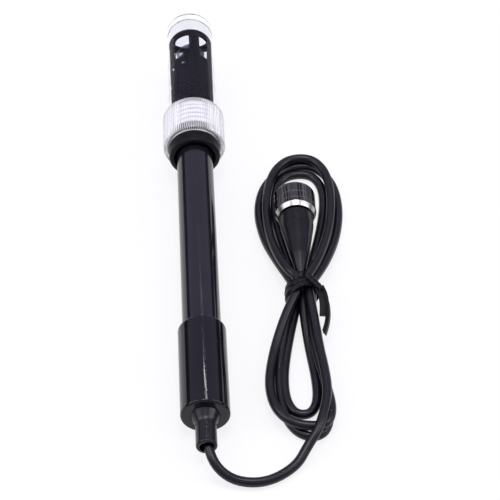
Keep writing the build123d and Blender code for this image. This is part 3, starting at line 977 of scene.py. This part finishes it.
@dataclass(frozen=True)
class Strand:
    """One side of a loop of the hank, as it bows out from the tie.

    Attributes:
        width: How far it bows out, in millimetres.
        pinch: How long it stays close before it bows out.
        height: Height of its middle line along the side, in millimetres.
    """

    width: float
    pinch: float
    height: float = 1.5

    def offset(self, turn: float) -> float:
        """Distance from the loop's middle line at an angle round the loop."""
        return self.width * abs(math.sin(turn)) * math.sin(turn / 2) ** self.pinch


@dataclass(frozen=True)
class Loop:
    """One loop of the hank, out from the tie and back.

    Attributes:
        start: Where it leaves the tie: across and height from the tie's middle, in millimetres.
        end: Where it comes back to the tie.
        leave: The strand that goes out.
        back: The strand that comes back.
        reach: Distance from the tie's edge to the loop's far end, in millimetres.
        lean: Sideways shift of the far end, in millimetres.
        tip_height: Height of the middle line at the far end, in millimetres.
        flatness: Power that rounds the far end, 2 for an ellipse's.
        upward: True for a loop towards the sensing tip.
        settle: Shares of the reach between which a strand comes to its own height.
        tip_rise: Shares of the reach between which it comes to the far end's height.
        part: Power by which the strands leave their places in the tie.
    """

    start: tuple[float, float]
    end: tuple[float, float]
    leave: Strand
    back: Strand
    reach: float
    lean: float
    tip_height: float
    flatness: float
    upward: bool
    settle: tuple[float, float] = (0.0, 0.5)
    tip_rise: tuple[float, float] = (0.55, 0.9)
    part: int = 3

    def points(self, tie: Point, grip: float, count: int) -> list[Point]:
        """Control points from the tie round the loop and back.

        Args:
            tie: Middle of the tie, in millimetres.
            grip: Half the straight stretch in the tie, in millimetres.
            count: Points round the loop.

        Returns:
            The points in millimetres.
        """
        way = 1.0 if self.upward else -1.0
        made = [(tie[0] + self.start[0], tie[1] + way * grip, tie[2] + self.start[1])]
        for number in range(1, count):
            turn = FULL_TURN * number / count
            out = 1 - abs(math.cos(turn / 2)) ** self.flatness
            outward = turn < math.pi
            strand, slot = (self.leave, self.start) if outward else (self.back, self.end)
            side = way if outward else -way
            x = tie[0] + self.lean * out + slot[0] * (1 - out) ** self.part + side * strand.offset(turn)
            low = tie[2] + slot[1]
            height = low + (strand.height - low) * smoothstep(out, *self.settle)
            height += (self.tip_height - strand.height) * smoothstep(out, *self.tip_rise)
            made.append((x, tie[1] + way * (grip + self.reach * out), height))
        made.append((tie[0] + self.end[0], tie[1] + way * grip, tie[2] + self.end[1]))
        return made


@dataclass
class Lead:
    """The thin lead: out of the boss, over the hank, three turns through the tie, and into the plug.

    Attributes:
        diameter: Outside diameter in millimetres.
        length: Real length in metres.
        exit: Where it leaves the boss, in millimetres.
        route: Free stretch up to the hank.
        climb: Stretch over the hank's lower loops up to the tie.
        tail: Stretch from the tie into the plug's boot.
        tie: Middle of the tie.
        grip: Half the straight stretch in the tie.
        pitch: Distance between the strands in the tie.
        count: Points round each loop.
        round_steps: Steps of the curve's round section.
        curve_steps: Steps of the curve between two points.
    """

    diameter: float = 3.0
    length: float = 0.875
    exit: Point = (0.0, -94.47, 7.188)
    route: tuple[Point, ...] = (
        (0.0, -86.473, 7.389),
        (0.0, -96.969, 7.125),
        (6.0, -103.1, 2.4),
        (16.5, -104.3, 1.6),
        (26.0, -98.5, 1.6),
    )
    climb: tuple[Point, ...] = (
        (29.8, -92.3, 3.6),
        (33.3, -87.7, 5.6),
        (35.3, -81.8, 6.3),
        (36.8, -75.3, 6.3),
        (37.0, -69.3, 6.2),
        (36.5, -62.0, 6.0),
        (35.9, -56.3, 5.8),
        (35.0, -44.0, 6.8),
    )
    tail: tuple[Point, ...] = (
        (32.25, -23.0, 5.9),
        (32.3, -20.0, 6.4),
        (32.3, -16.0, 6.6),
        (32.3, -6.0, 6.6),
    )
    tie: Point = (32.2, -30.0, 5.33)
    grip: float = 3.0
    pitch: float = 3.0
    count: int = 14
    round_steps: int = 6
    curve_steps: int = 6

    def slot(self, angle: float) -> tuple[float, float]:
        """Place of a strand in the tie, at an angle round the middle strand."""
        turn = math.radians(angle)
        return (self.pitch * math.cos(turn), self.pitch * math.sin(turn))

    def loops(self) -> tuple[Loop, ...]:
        """The hank's loops in the order that the lead runs through them.

        Returns:
            Upper and lower loops in turn.
        """
        middle = (0.0, 0.0)
        right_top, right, right_low = self.slot(60), self.slot(0), self.slot(-60)
        left_top, left, left_low = self.slot(120), self.slot(180), self.slot(240)
        rows = (
            (right_top, left_top, (12.1, 0.52, 3.6), (12.8, 0.35, 3.6), 59.6, 3.4, 4.3, 2.35, True),
            (left_top, right, (16.4, 0.85, 3.2), (10.2, 3.51, 3.9), 52.7, 0.5, 4.2, 2.32, False),
            (right, left, (14.6, 0.65), (19.4, 1.04), 58.8, 4.4, 1.5, 1.98, True),
            (left, right_low, (11.7, 0.86), (10.7, 3.70), 54.7, -0.4, 1.5, 2.07, False),
            (right_low, left_low, (11.2, 1.32), (12.9, 1.40), 54.5, 3.0, 1.5, 2.37, True),
            (left_low, middle, (7.9, 1.0), (7.3, 2.7), 46.2, -2.6, 1.8, 2.25, False),
        )
        made = []
        for start, end, leave, back, *rest in rows:
            made.append(Loop(start, end, Strand(*leave), Strand(*back), *rest))
        return tuple(made)

    def points(self) -> list[Point]:
        """All control points from the boss to the plug.

        Returns:
            The points in millimetres.
        """
        made = [*self.route, *self.climb]
        for loop in self.loops():
            made += loop.points(self.tie, self.grip, self.count)
        made.append((self.tie[0], self.tie[1] + self.grip, self.tie[2]))
        return made + list(self.tail)

    def build(self, plug: Sequence[bpy.types.Object]) -> bpy.types.Object:
        """Args:
            plug: Pieces on the lead's far end; not used.

        Returns:
            The lead.
        """
        data = bpy.data.curves.new("lead", "CURVE")
        data.dimensions = "3D"
        data.bevel_depth = self.diameter / 2 * MM
        data.bevel_resolution = self.round_steps
        data.resolution_u = self.curve_steps
        data.use_fill_caps = True
        spline = data.splines.new("NURBS")
        points = self.points()
        spline.points.add(len(points) - 1)
        for control, point in zip(spline.points, points):
            control.co = (*(MM * part for part in point), 1.0)
        spline.order_u = 3
        spline.use_endpoint_u = True
        made = new_object("lead", data)
        dress(made, CABLE_JACKET.material())
        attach(made, Body.ELECTRODE.value)
        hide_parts("cable_lead", "cable_hank", "cable_tail")
        return made


# The storage bottle


@dataclass
class StorageBottle:
    """Clear bottle with a threaded neck, its liquid and a few air bubbles; all in millimetres.

    Attributes:
        rim: Height of the open end.
        neck_end: Height where the neck's collar meets the body.
        floor: Height of the inside of the closed end.
        end: Height of the outside of the closed end.
        bore: Radius of the inside.
        body: Radius of the body at the neck and at the closed end.
        collar: Radius of the neck's collar.
        collar_depth: Length of the collar along the axis.
        root: Radius of the thread's root.
        crest: Radius of the thread's crest.
        pitch: Lift of the thread in a turn.
        flank: Shares of the pitch from the crest between which the thread rises.
        run_in: Distances from the rim between which the thread sets in.
        run_out: Distances from the neck's end between which it sets in there.
        thread_rows: Rows of the mesh along the thread.
        corners: Corners of the mesh in a row.
        edge: Round of the closed end's outside edge.
        corner: Round of the inside's corner.
        overlap: How far the liquid reaches into the wall.
        stem: Radius of the liquid's inner wall, inside the electrode's tube.
        stem_end: Height where the inner wall ends.
        level: Height where the liquid starts.
        film: Liquid between a bubble and the wall.
        bubble_steps: Steps of a bubble's mesh round it and from pole to pole.
        air: Height, angle in degrees and radius of each bubble.
    """

    rim: float = 118.9
    neck_end: float = 129.5
    floor: float = 175.5
    end: float = 177.5
    bore: float = 6.7
    body: tuple[float, float] = (8.2, 8.0)
    collar: float = 9.0
    collar_depth: float = 0.7
    root: float = 8.3
    crest: float = 8.95
    pitch: float = 2.1
    flank: tuple[float, float] = (0.34, 0.12)
    run_in: tuple[float, float] = (0.4, 1.4)
    run_out: tuple[float, float] = (0.9, 1.7)
    thread_rows: int = 44
    corners: int = 128
    edge: float = 2.0
    corner: float = 2.5
    overlap: float = 0.1
    stem: float = 5.9
    stem_end: float = 152.0
    level: float = 119.2
    film: float = 0.1
    bubble_steps: tuple[int, int] = (20, 12)
    air: tuple[tuple[float, float, float], ...] = (
        (157.0, 122.0, 0.7),
        (155.6, 128.0, 0.35),
        (152.0, 113.0, 0.55),
        (151.5, 151.0, 0.5),
        (144.0, 168.0, 0.45),
        (158.5, 140.0, 0.4),
    )

    def thread(self, height: float, radius: float, turn: float) -> float:
        """Radius of the neck's outside with its right-hand thread.

        Args:
            height: Height along the axis.
            radius: Radius of the plain profile.
            turn: Angle from +X towards up.

        Returns:
            The radius with the thread on it.
        """
        if radius != self.root:
            return radius
        phase = (height / self.pitch + turn / FULL_TURN) % 1.0
        ridge = smoothstep(abs(phase - 0.5), *self.flank)
        fade = smoothstep(height, *(self.rim + distance for distance in self.run_in))
        fade *= smoothstep(height, *(self.neck_end - distance for distance in self.run_out))
        return radius + (self.crest - self.root) * ridge * fade

    def shell(self) -> bpy.types.Object:
        """Make the bottle's wall, clear below the collar and milky on the thread.

        Returns:
            The wall.
        """
        rows = self.thread_rows
        top = self.neck_end - self.collar_depth
        neck = [(top + (self.rim - top) * step / rows, self.root) for step in range(rows + 1)]
        profile = [(self.end, 0.0)]
        profile += arc((self.end - self.edge, self.body[1] - self.edge), self.edge, 0.0, 90.0)
        profile += [(self.neck_end, self.body[0]), (self.neck_end, self.collar), (top, self.collar), *neck]
        profile += [(self.rim, self.bore), (self.floor - self.corner, self.bore)]
        profile += arc((self.floor - self.corner, self.bore - self.corner), self.corner, 90.0, 0.0)
        profile.append((self.floor, 0.0))
        made = turned("bottle_shell", profile, self.corners, self.thread)
        made.data.materials.append(CLEAR_BOTTLE.material())
        made.data.materials.append(MILKY_NECK.material())
        for face in made.data.polygons:
            middle = (face.center / MM - Vector(AXIS.base)).dot(Vector(AXIS.along))
            face.material_index = 1 if middle < top else 0
        return made

    def liquid(self) -> bpy.types.Object:
        """Make the liquid, a little into the wall outside and into the tube inside.

        Returns:
            The liquid.
        """
        wall = self.bore + self.overlap
        foot = self.floor + self.overlap
        profile = [(foot, 0.0)]
        profile += arc((foot - self.corner, wall - self.corner), self.corner, 0.0, 90.0)
        profile += [(self.level, wall), (self.level, self.stem)]
        profile += [(self.stem_end, self.stem), (self.stem_end, 0.0)]
        return turned("bottle_liquid", profile)

    def bubbles(self) -> bpy.types.Object:
        """Make the air bubbles that cling to the inside of the wall.

        Returns:
            The bubbles as one piece.
        """
        around, upward = self.bubble_steps
        shaping = bmesh.new()
        for height, angle, radius in self.air:
            size = radius * MM
            ball = bmesh.ops.create_uvsphere(shaping, u_segments=around, v_segments=upward, radius=size)
            spot = AXIS.place(height, self.bore - radius - self.film, math.radians(angle))
            bmesh.ops.translate(shaping, verts=ball["verts"], vec=spot)
        mesh = bpy.data.meshes.new("bottle_bubbles")
        shaping.to_mesh(mesh)
        shaping.free()
        mesh.shade_smooth()
        return new_object("bottle_bubbles", mesh)

    def build(self) -> list[bpy.types.Object]:
        """Make and dress the bottle, the liquid and the bubbles.

        Returns:
            The pieces.
        """
        shell, liquid, bubbles = self.shell(), self.liquid(), self.bubbles()
        dress(liquid, LIQUID.material())
        dress(bubbles, BUBBLE_AIR.material())
        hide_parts("storage_bottle")
        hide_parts("storage_solution")
        for piece, slot in ((shell, Slot.CLEAR), (liquid, Slot.LIQUID), (bubbles, Slot.LIQUID)):
            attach(piece, Body.BOTTLE.value)
        return [shell, liquid, bubbles]


@dataclass
class RibbedCap:
    """Clear screw cap with soft round ribs over its whole length; in millimetres.

    Attributes:
        near: Height of its open end.
        lip: Height of the lip's inner face.
        far: Height of its other end.
        outside: Radius over the ribs.
        mouth: Radius of the lip's opening.
        bore: Radius of its inside.
        edge: Round of the near edge.
        shoulder: Round of the far edge.
        ribs: How many ribs.
        depth: Depth of the grooves between them.
        corners: Corners of the mesh in each rib.
    """

    near: float = 115.0
    lip: float = 116.3
    far: float = 130.1
    outside: float = 10.4
    mouth: float = 8.65
    bore: float = 9.15
    edge: float = 0.8
    shoulder: float = 1.2
    ribs: int = 84
    depth: float = 0.26
    corners: int = 8

    def ribbed(self, height: float, radius: float, turn: float) -> float:
        """Radius of the cap's outside with its ribs, within the rounded outline."""
        return min(radius, self.outside - self.depth * (0.5 - 0.5 * math.cos(self.ribs * turn)))

    def build(self) -> bpy.types.Object:
        """Make and dress the cap.

        Returns:
            The cap.
        """
        profile = [(self.near, self.mouth)]
        profile += arc((self.near + self.edge, self.outside - self.edge), self.edge, 180.0, 90.0)
        profile += arc((self.far - self.shoulder, self.outside - self.shoulder), self.shoulder, 90.0, 0.0)
        profile += [(self.far, self.bore), (self.lip, self.bore), (self.lip, self.mouth)]
        made = turned("ribbed_cap", profile, self.corners * self.ribs, self.ribbed)
        dress(made, CLEAR_CAP.material())
        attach(made, Body.CAP.value)
        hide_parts("bottle_cap")
        return made


# The tie and the plug


@dataclass
class Tie:
    """Flat wire tie round the hank: two rings, a twisted knot and two tails; in millimetres.

    Attributes:
        middle: Middle of the bundle in the tie.
        radius: Radius of the rings' middle.
        rings: Shift along the bundle and lean towards +X of each turn round it.
        rest: Lowest height of a ring's middle, where it lies on the table.
        ring_steps: Rows of the mesh round a ring.
        ripple: How far the strip's wings sway as it goes round.
        ripples: How often they sway in a turn.
        width: Width of the strip.
        thin: Thickness of the strip's wings.
        thick: Thickness over the wire.
        rim: Share of the wings' thickness that half the strip has at its edge.
        wing: Shares of half the width between which a wing is flat.
        ridge: Share of half the width, and of the thickness over the wire, where the ridge's round ends.
        sharp: Angle in degrees over which the strip's edges are sharp.
        knot: Start and end of the twisted stretch.
        turns: Turns of the twist.
        twist_radius: Distance of a twisted strip's middle from the knot's.
        twist_lean: How far a twisted strip leans along the knot.
        twist_steps: Steps of the mesh along the knot.
        tail_steps: Steps of the mesh between a tail's points.
        tails: Middle points of the two tails.
        edges: Direction across each tail.
    """

    middle: Point = (32.2, -31.0, 5.33)
    radius: float = 5.25
    rings: tuple[tuple[float, float], ...] = ((0.0, 0.9), (-1.4, 1.7))
    rest: float = 0.6
    ring_steps: int = 72
    ripple: float = 0.18
    ripples: int = 3
    width: float = 3.0
    thin: float = 0.4
    thick: float = 0.95
    rim: float = 0.3
    wing: tuple[float, float] = (0.36, 0.9)
    ridge: tuple[float, float] = (0.2, 0.42)
    sharp: float = 50.0
    knot: tuple[Point, Point] = ((34.4, -30.6, 10.6), (37.6, -34.6, 9.9))
    turns: float = 1.4
    twist_radius: float = 0.75
    twist_lean: float = 0.25
    twist_steps: int = 32
    tail_steps: int = 8
    tails: tuple[tuple[Point, ...], ...] = (
        ((37.2, -33.8, 10.0), (38.2, -36.6, 9.5), (38.5, -39.6, 8.6), (38.2, -43.5, 6.8)),
        ((37.6, -34.4, 9.7), (39.2, -37.8, 8.8), (39.6, -42.0, 7.4), (39.0, -46.0, 6.4), (37.8, -49.6, 5.8)),
    )
    edges: tuple[Point, ...] = ((1.0, 0.0, 0.1), (0.5, 0.5, -0.7))

    def section(self) -> list[tuple[float, float]]:
        """Outline of the strip: thin wings with a round ridge over the wire.

        Returns:
            Distance across and height of each corner.
        """
        half = self.width / 2
        right = [(self.ridge[0] * half, self.ridge[1] * self.thick)]
        right += [(share * half, self.thin / 2) for share in self.wing]
        right.append((half, self.rim * self.thin))
        left = [(-across, lift) for across, lift in reversed(right)]
        upper = [*left, (0.0, self.thick / 2), *right]
        return upper + [(across, -lift) for across, lift in reversed(upper)]

    def strip(
        self,
        name: str,
        path: Sequence[Vector],
        across: Sequence[Vector],
        closed: bool,
    ) -> bpy.types.Object:
        """Sweep the strip along a path.

        Args:
            name: Name of the piece.
            path: Middle points in millimetres.
            across: Direction across the strip at each point.
            closed: True for a ring.

        Returns:
            The new object.
        """
        outline = self.section()
        count = len(outline)
        points: list[Vector] = []
        for number, spot in enumerate(path):
            before = path[number - 1] if closed or number else spot
            after = path[(number + 1) % len(path)] if closed or number + 1 < len(path) else spot
            ahead = (after - before).normalized()
            side = (across[number] - across[number].dot(ahead) * ahead).normalized()
            lift = ahead.cross(side)
            points += [MM * (spot + u * side + v * lift) for u, v in outline]
        faces: Faces = []
        rows = len(path)
        for row in range(rows if closed else rows - 1):
            faces += ring_faces(row * count, (row + 1) % rows * count, count)
        if not closed:
            faces += [tuple(range(count)), tuple(range((rows - 1) * count, rows * count))]
        return mesh_object(name, points, faces, self.sharp)

    def ring(self, number: int) -> bpy.types.Object:
        """Make one of the turns round the bundle.

        Args:
            number: Its number, from 0.

        Returns:
            The strip.
        """
        shift, tilt = self.rings[number]
        path, across = [], []
        for step in range(self.ring_steps):
            turn = FULL_TURN * step / self.ring_steps
            side = Vector((math.cos(turn), 0.0, math.sin(turn)))
            lean = Vector((0.0, shift + tilt * math.cos(turn), 0.0))
            spot = Vector(self.middle) + self.radius * side + lean
            spot.z = max(spot.z, self.rest)
            path.append(spot)
            across.append(Vector((0.0, 1.0, 0.0)) + self.ripple * side * math.sin(self.ripples * turn))
        return self.strip(f"tie_ring_{number + 1}", path, across, True)

    def twist(self, number: int) -> bpy.types.Object:
        """Make one of the two strips twisted together in the knot.

        Args:
            number: Its number, from 0.

        Returns:
            The strip.
        """
        start, end = (Vector(spot) for spot in self.knot)
        ahead = (end - start).normalized()
        first = ahead.cross(Vector((0.0, 0.0, 1.0))).normalized()
        second = ahead.cross(first)
        path, across = [], []
        for step in range(self.twist_steps + 1):
            share = step / self.twist_steps
            turn = FULL_TURN * (self.turns * share + number / 2)
            round_way = math.cos(turn) * first + math.sin(turn) * second
            path.append(start + share * (end - start) + self.twist_radius * round_way)
            across.append(ahead.cross(round_way) + self.twist_lean * ahead)
        return self.strip(f"tie_twist_{number + 1}", path, across, False)

    def tail(self, number: int) -> bpy.types.Object:
        """Make one of the tails along its smoothed points.

        Args:
            number: Its number, from 0.

        Returns:
            The strip.
        """
        rough = [Vector(spot) for spot in self.tails[number]]
        path = []
        for first, second, third in zip([rough[0], *rough], rough, [*rough[1:], rough[-1]]):
            start, end = (first + second) / 2, (second + third) / 2
            for step in range(self.tail_steps):
                share = step / self.tail_steps
                path.append((1 - share) ** 2 * start + 2 * share * (1 - share) * second + share**2 * end)
        path.append(rough[-1])
        return self.strip(f"tie_tail_{number + 1}", path, [Vector(self.edges[number])] * len(path), False)

    def build(self) -> list[bpy.types.Object]:
        """Make and dress the tie's pieces.

        Returns:
            The pieces.
        """
        made = [self.ring(number) for number in range(len(self.rings))]
        made += [self.twist(number) for number in range(2)]
        made += [self.tail(number) for number in range(len(self.tails))]
        finish = TIE_PLASTIC.material()
        for piece in made:
            dress(piece, finish)
            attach(piece, Body.ELECTRODE.value)
        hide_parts("cable_tie")
        return made


@dataclass
class NutGrip:
    """Fine flutes round the coupling nut, with openings over its two bayonet seats; in millimetres.

    Attributes:
        middle: Point on the nut's axis at its rear end.
        bands: Heights of each band's ends from the rear end, and half its openings' angle in degrees.
        inner: Radius inside the nut's wall.
        outer: Radius over the flutes' ridges.
        depth: Depth of the flutes.
        bevel: Length of the sloping ends of a band.
        flutes: How many flutes.
        slope: Height and radius of the bright rear slope's rows.
    """

    middle: Point = (32.3, 0.9, 6.6)
    bands: tuple[tuple[float, float, float], ...] = ((1.7, 3.6, 0.0), (3.6, 6.4, 12.5), (6.4, 10.2, 0.0))
    inner: float = 6.4
    outer: float = 6.8
    depth: float = 0.2
    bevel: float = 0.12
    flutes: int = 48
    slope: tuple[tuple[float, float], ...] = (
        (0.05, 5.7),
        (-0.03, 6.0),
        (0.08, 6.07),
        (1.68, 6.67),
        (1.68, 6.3),
    )

    def middle_at(self, height: float) -> Vector:
        """Point on the nut's axis at a height from its rear end."""
        return Vector(self.middle) + Vector((0.0, height, 0.0))

    def rear(self) -> bpy.types.Object:
        """Make the smooth bright slope at the nut's rear end.

        Returns:
            The slope.
        """
        count = 2 * self.flutes
        points: list[Vector] = []
        faces: Faces = []
        for row, (height, radius) in enumerate(self.slope):
            points += ring_points(self.middle_at(height), [radius] * count)
            faces += ring_faces(row * count, (row + 1) % len(self.slope) * count, count)
        return mesh_object("nut_slope", points, faces)

    def band(self, low: float, high: float, opening: float, first: int) -> tuple[list[Vector], Faces]:
        """One band of flutes.

        Args:
            low: Height of its rear end.
            high: Height of its front end.
            opening: Half the angle in degrees that stays open at each side of the nut.
            first: Number of the band's first corner.

        Returns:
            The corners in metres and the faces.
        """
        count = 2 * self.flutes
        rows = ((low, 0.0), (low + self.bevel, 1.0), (high - self.bevel, 1.0), (high, 0.0))
        points: list[Vector] = []
        for height, share in rows:
            rise = self.outer - self.inner
            radii = [self.inner + share * (rise - self.depth * (step % 2)) for step in range(count)]
            points += ring_points(self.middle_at(height), radii)
        kept = []
        for step in range(count):
            from_side = math.asin(abs(math.sin(FULL_TURN * (step + 0.5) / count)))
            kept.append(math.degrees(from_side) >= opening)
        faces: Faces = []
        for row in range(len(rows)):
            quads = ring_faces(first + row * count, first + (row + 1) % len(rows) * count, count)
            faces += [quad for quad, keep in zip(quads, kept) if keep]
        ends = [step for step in range(count) if kept[step] != kept[step - 1]]
        faces += [tuple(first + row * count + step for row in range(len(rows))) for step in ends]
        return points, faces

    def build(self) -> list[bpy.types.Object]:
        """Make and dress the bands and the slope.

        Returns:
            The bands as one piece, and the slope.
        """
        points: list[Vector] = []
        faces: Faces = []
        for low, high, opening in self.bands:
            more_points, more_faces = self.band(low, high, opening, len(points))
            points += more_points
            faces += more_faces
        flutes, rear = mesh_object("nut_grip", points, faces), self.rear()
        # The flutes get a darkened copy of the nickel as painted shade, the rear slope a dimmed copy as
        # milder painted shade.
        dress(flutes, SHADED_GRIP_NICKEL.material())
        dress(rear, DIMMED_REAR_NICKEL.material())
        for piece in (flutes, rear):
            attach(piece, Body.NUT.value)
        return [flutes, rear]


@dataclass
class BootTaper:
    """Thin flexible end of the plug's boot, drawn out along the lead; in millimetres.

    Attributes:
        start: Middle of its wide end, just inside the boot.
        end: Middle of its thin end.
        radii: Radius at each end.
        hollow: Power of the taper, over 1 for a hollow flank.
        rows: Steps along it.
        count: Corners round it.
    """

    start: Point = (32.3, -16.8, 6.6)
    end: Point = (32.25, -24.0, 5.8)
    radii: tuple[float, float] = (3.09, 1.58)
    hollow: float = 1.12
    rows: int = 16
    count: int = 48

    def build(self) -> bpy.types.Object:
        """Make and dress the taper.

        Returns:
            The taper.
        """
        points: list[Vector] = []
        faces: Faces = []
        for row in range(self.rows + 1):
            share = row / self.rows
            middle = Vector(self.start).lerp(Vector(self.end), share)
            middle.z = self.start[2] + (self.end[2] - self.start[2]) * share**2
            radius = self.radii[1] + (self.radii[0] - self.radii[1]) * (1 - share) ** self.hollow
            points += ring_points(middle, [radius] * self.count)
            if row:
                faces += ring_faces((row - 1) * self.count, row * self.count, self.count)
        last = self.rows * self.count
        faces += [tuple(range(self.count)), tuple(range(last, last + self.count))]
        made = mesh_object("boot_taper", points, faces)
        dress(made, BOOT_RUBBER.material())
        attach(made, Body.ELECTRODE.value)
        return made


PLUG_NODES = (
    "coupling_nut",
    "plug_shell",
    "plug_insulator",
    "centre_pin",
    "plug_gasket",
    "spring_washer",
    "retaining_ring",
    "crimp_ferrule",
    "plug_boot",
)


def report_piece(piece: bpy.types.Object) -> None:
    """Log a finished piece."""
    LOG.info("built %s", piece.name)


def main() -> None:
    """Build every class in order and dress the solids."""
    logging.basicConfig(level=logging.INFO, format="%(name)s: %(message)s")
    PhotoCamera().build()
    Studio().build()
    for finish, names in NODE_FINISHES.items():
        material = finish.material()
        for name in names:
            dress(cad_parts[name], material)
    bottle, cap, tie = StorageBottle().build(), RibbedCap().build(), Tie().build()
    plug = [*NutGrip().build(), BootTaper().build()]
    lead = Lead().build([*(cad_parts[name] for name in PLUG_NODES), *plug, *tie])
    for piece in (*bottle, cap, *tie, *plug, lead):
        report_piece(piece)


if __name__ == "__main__":
    main()
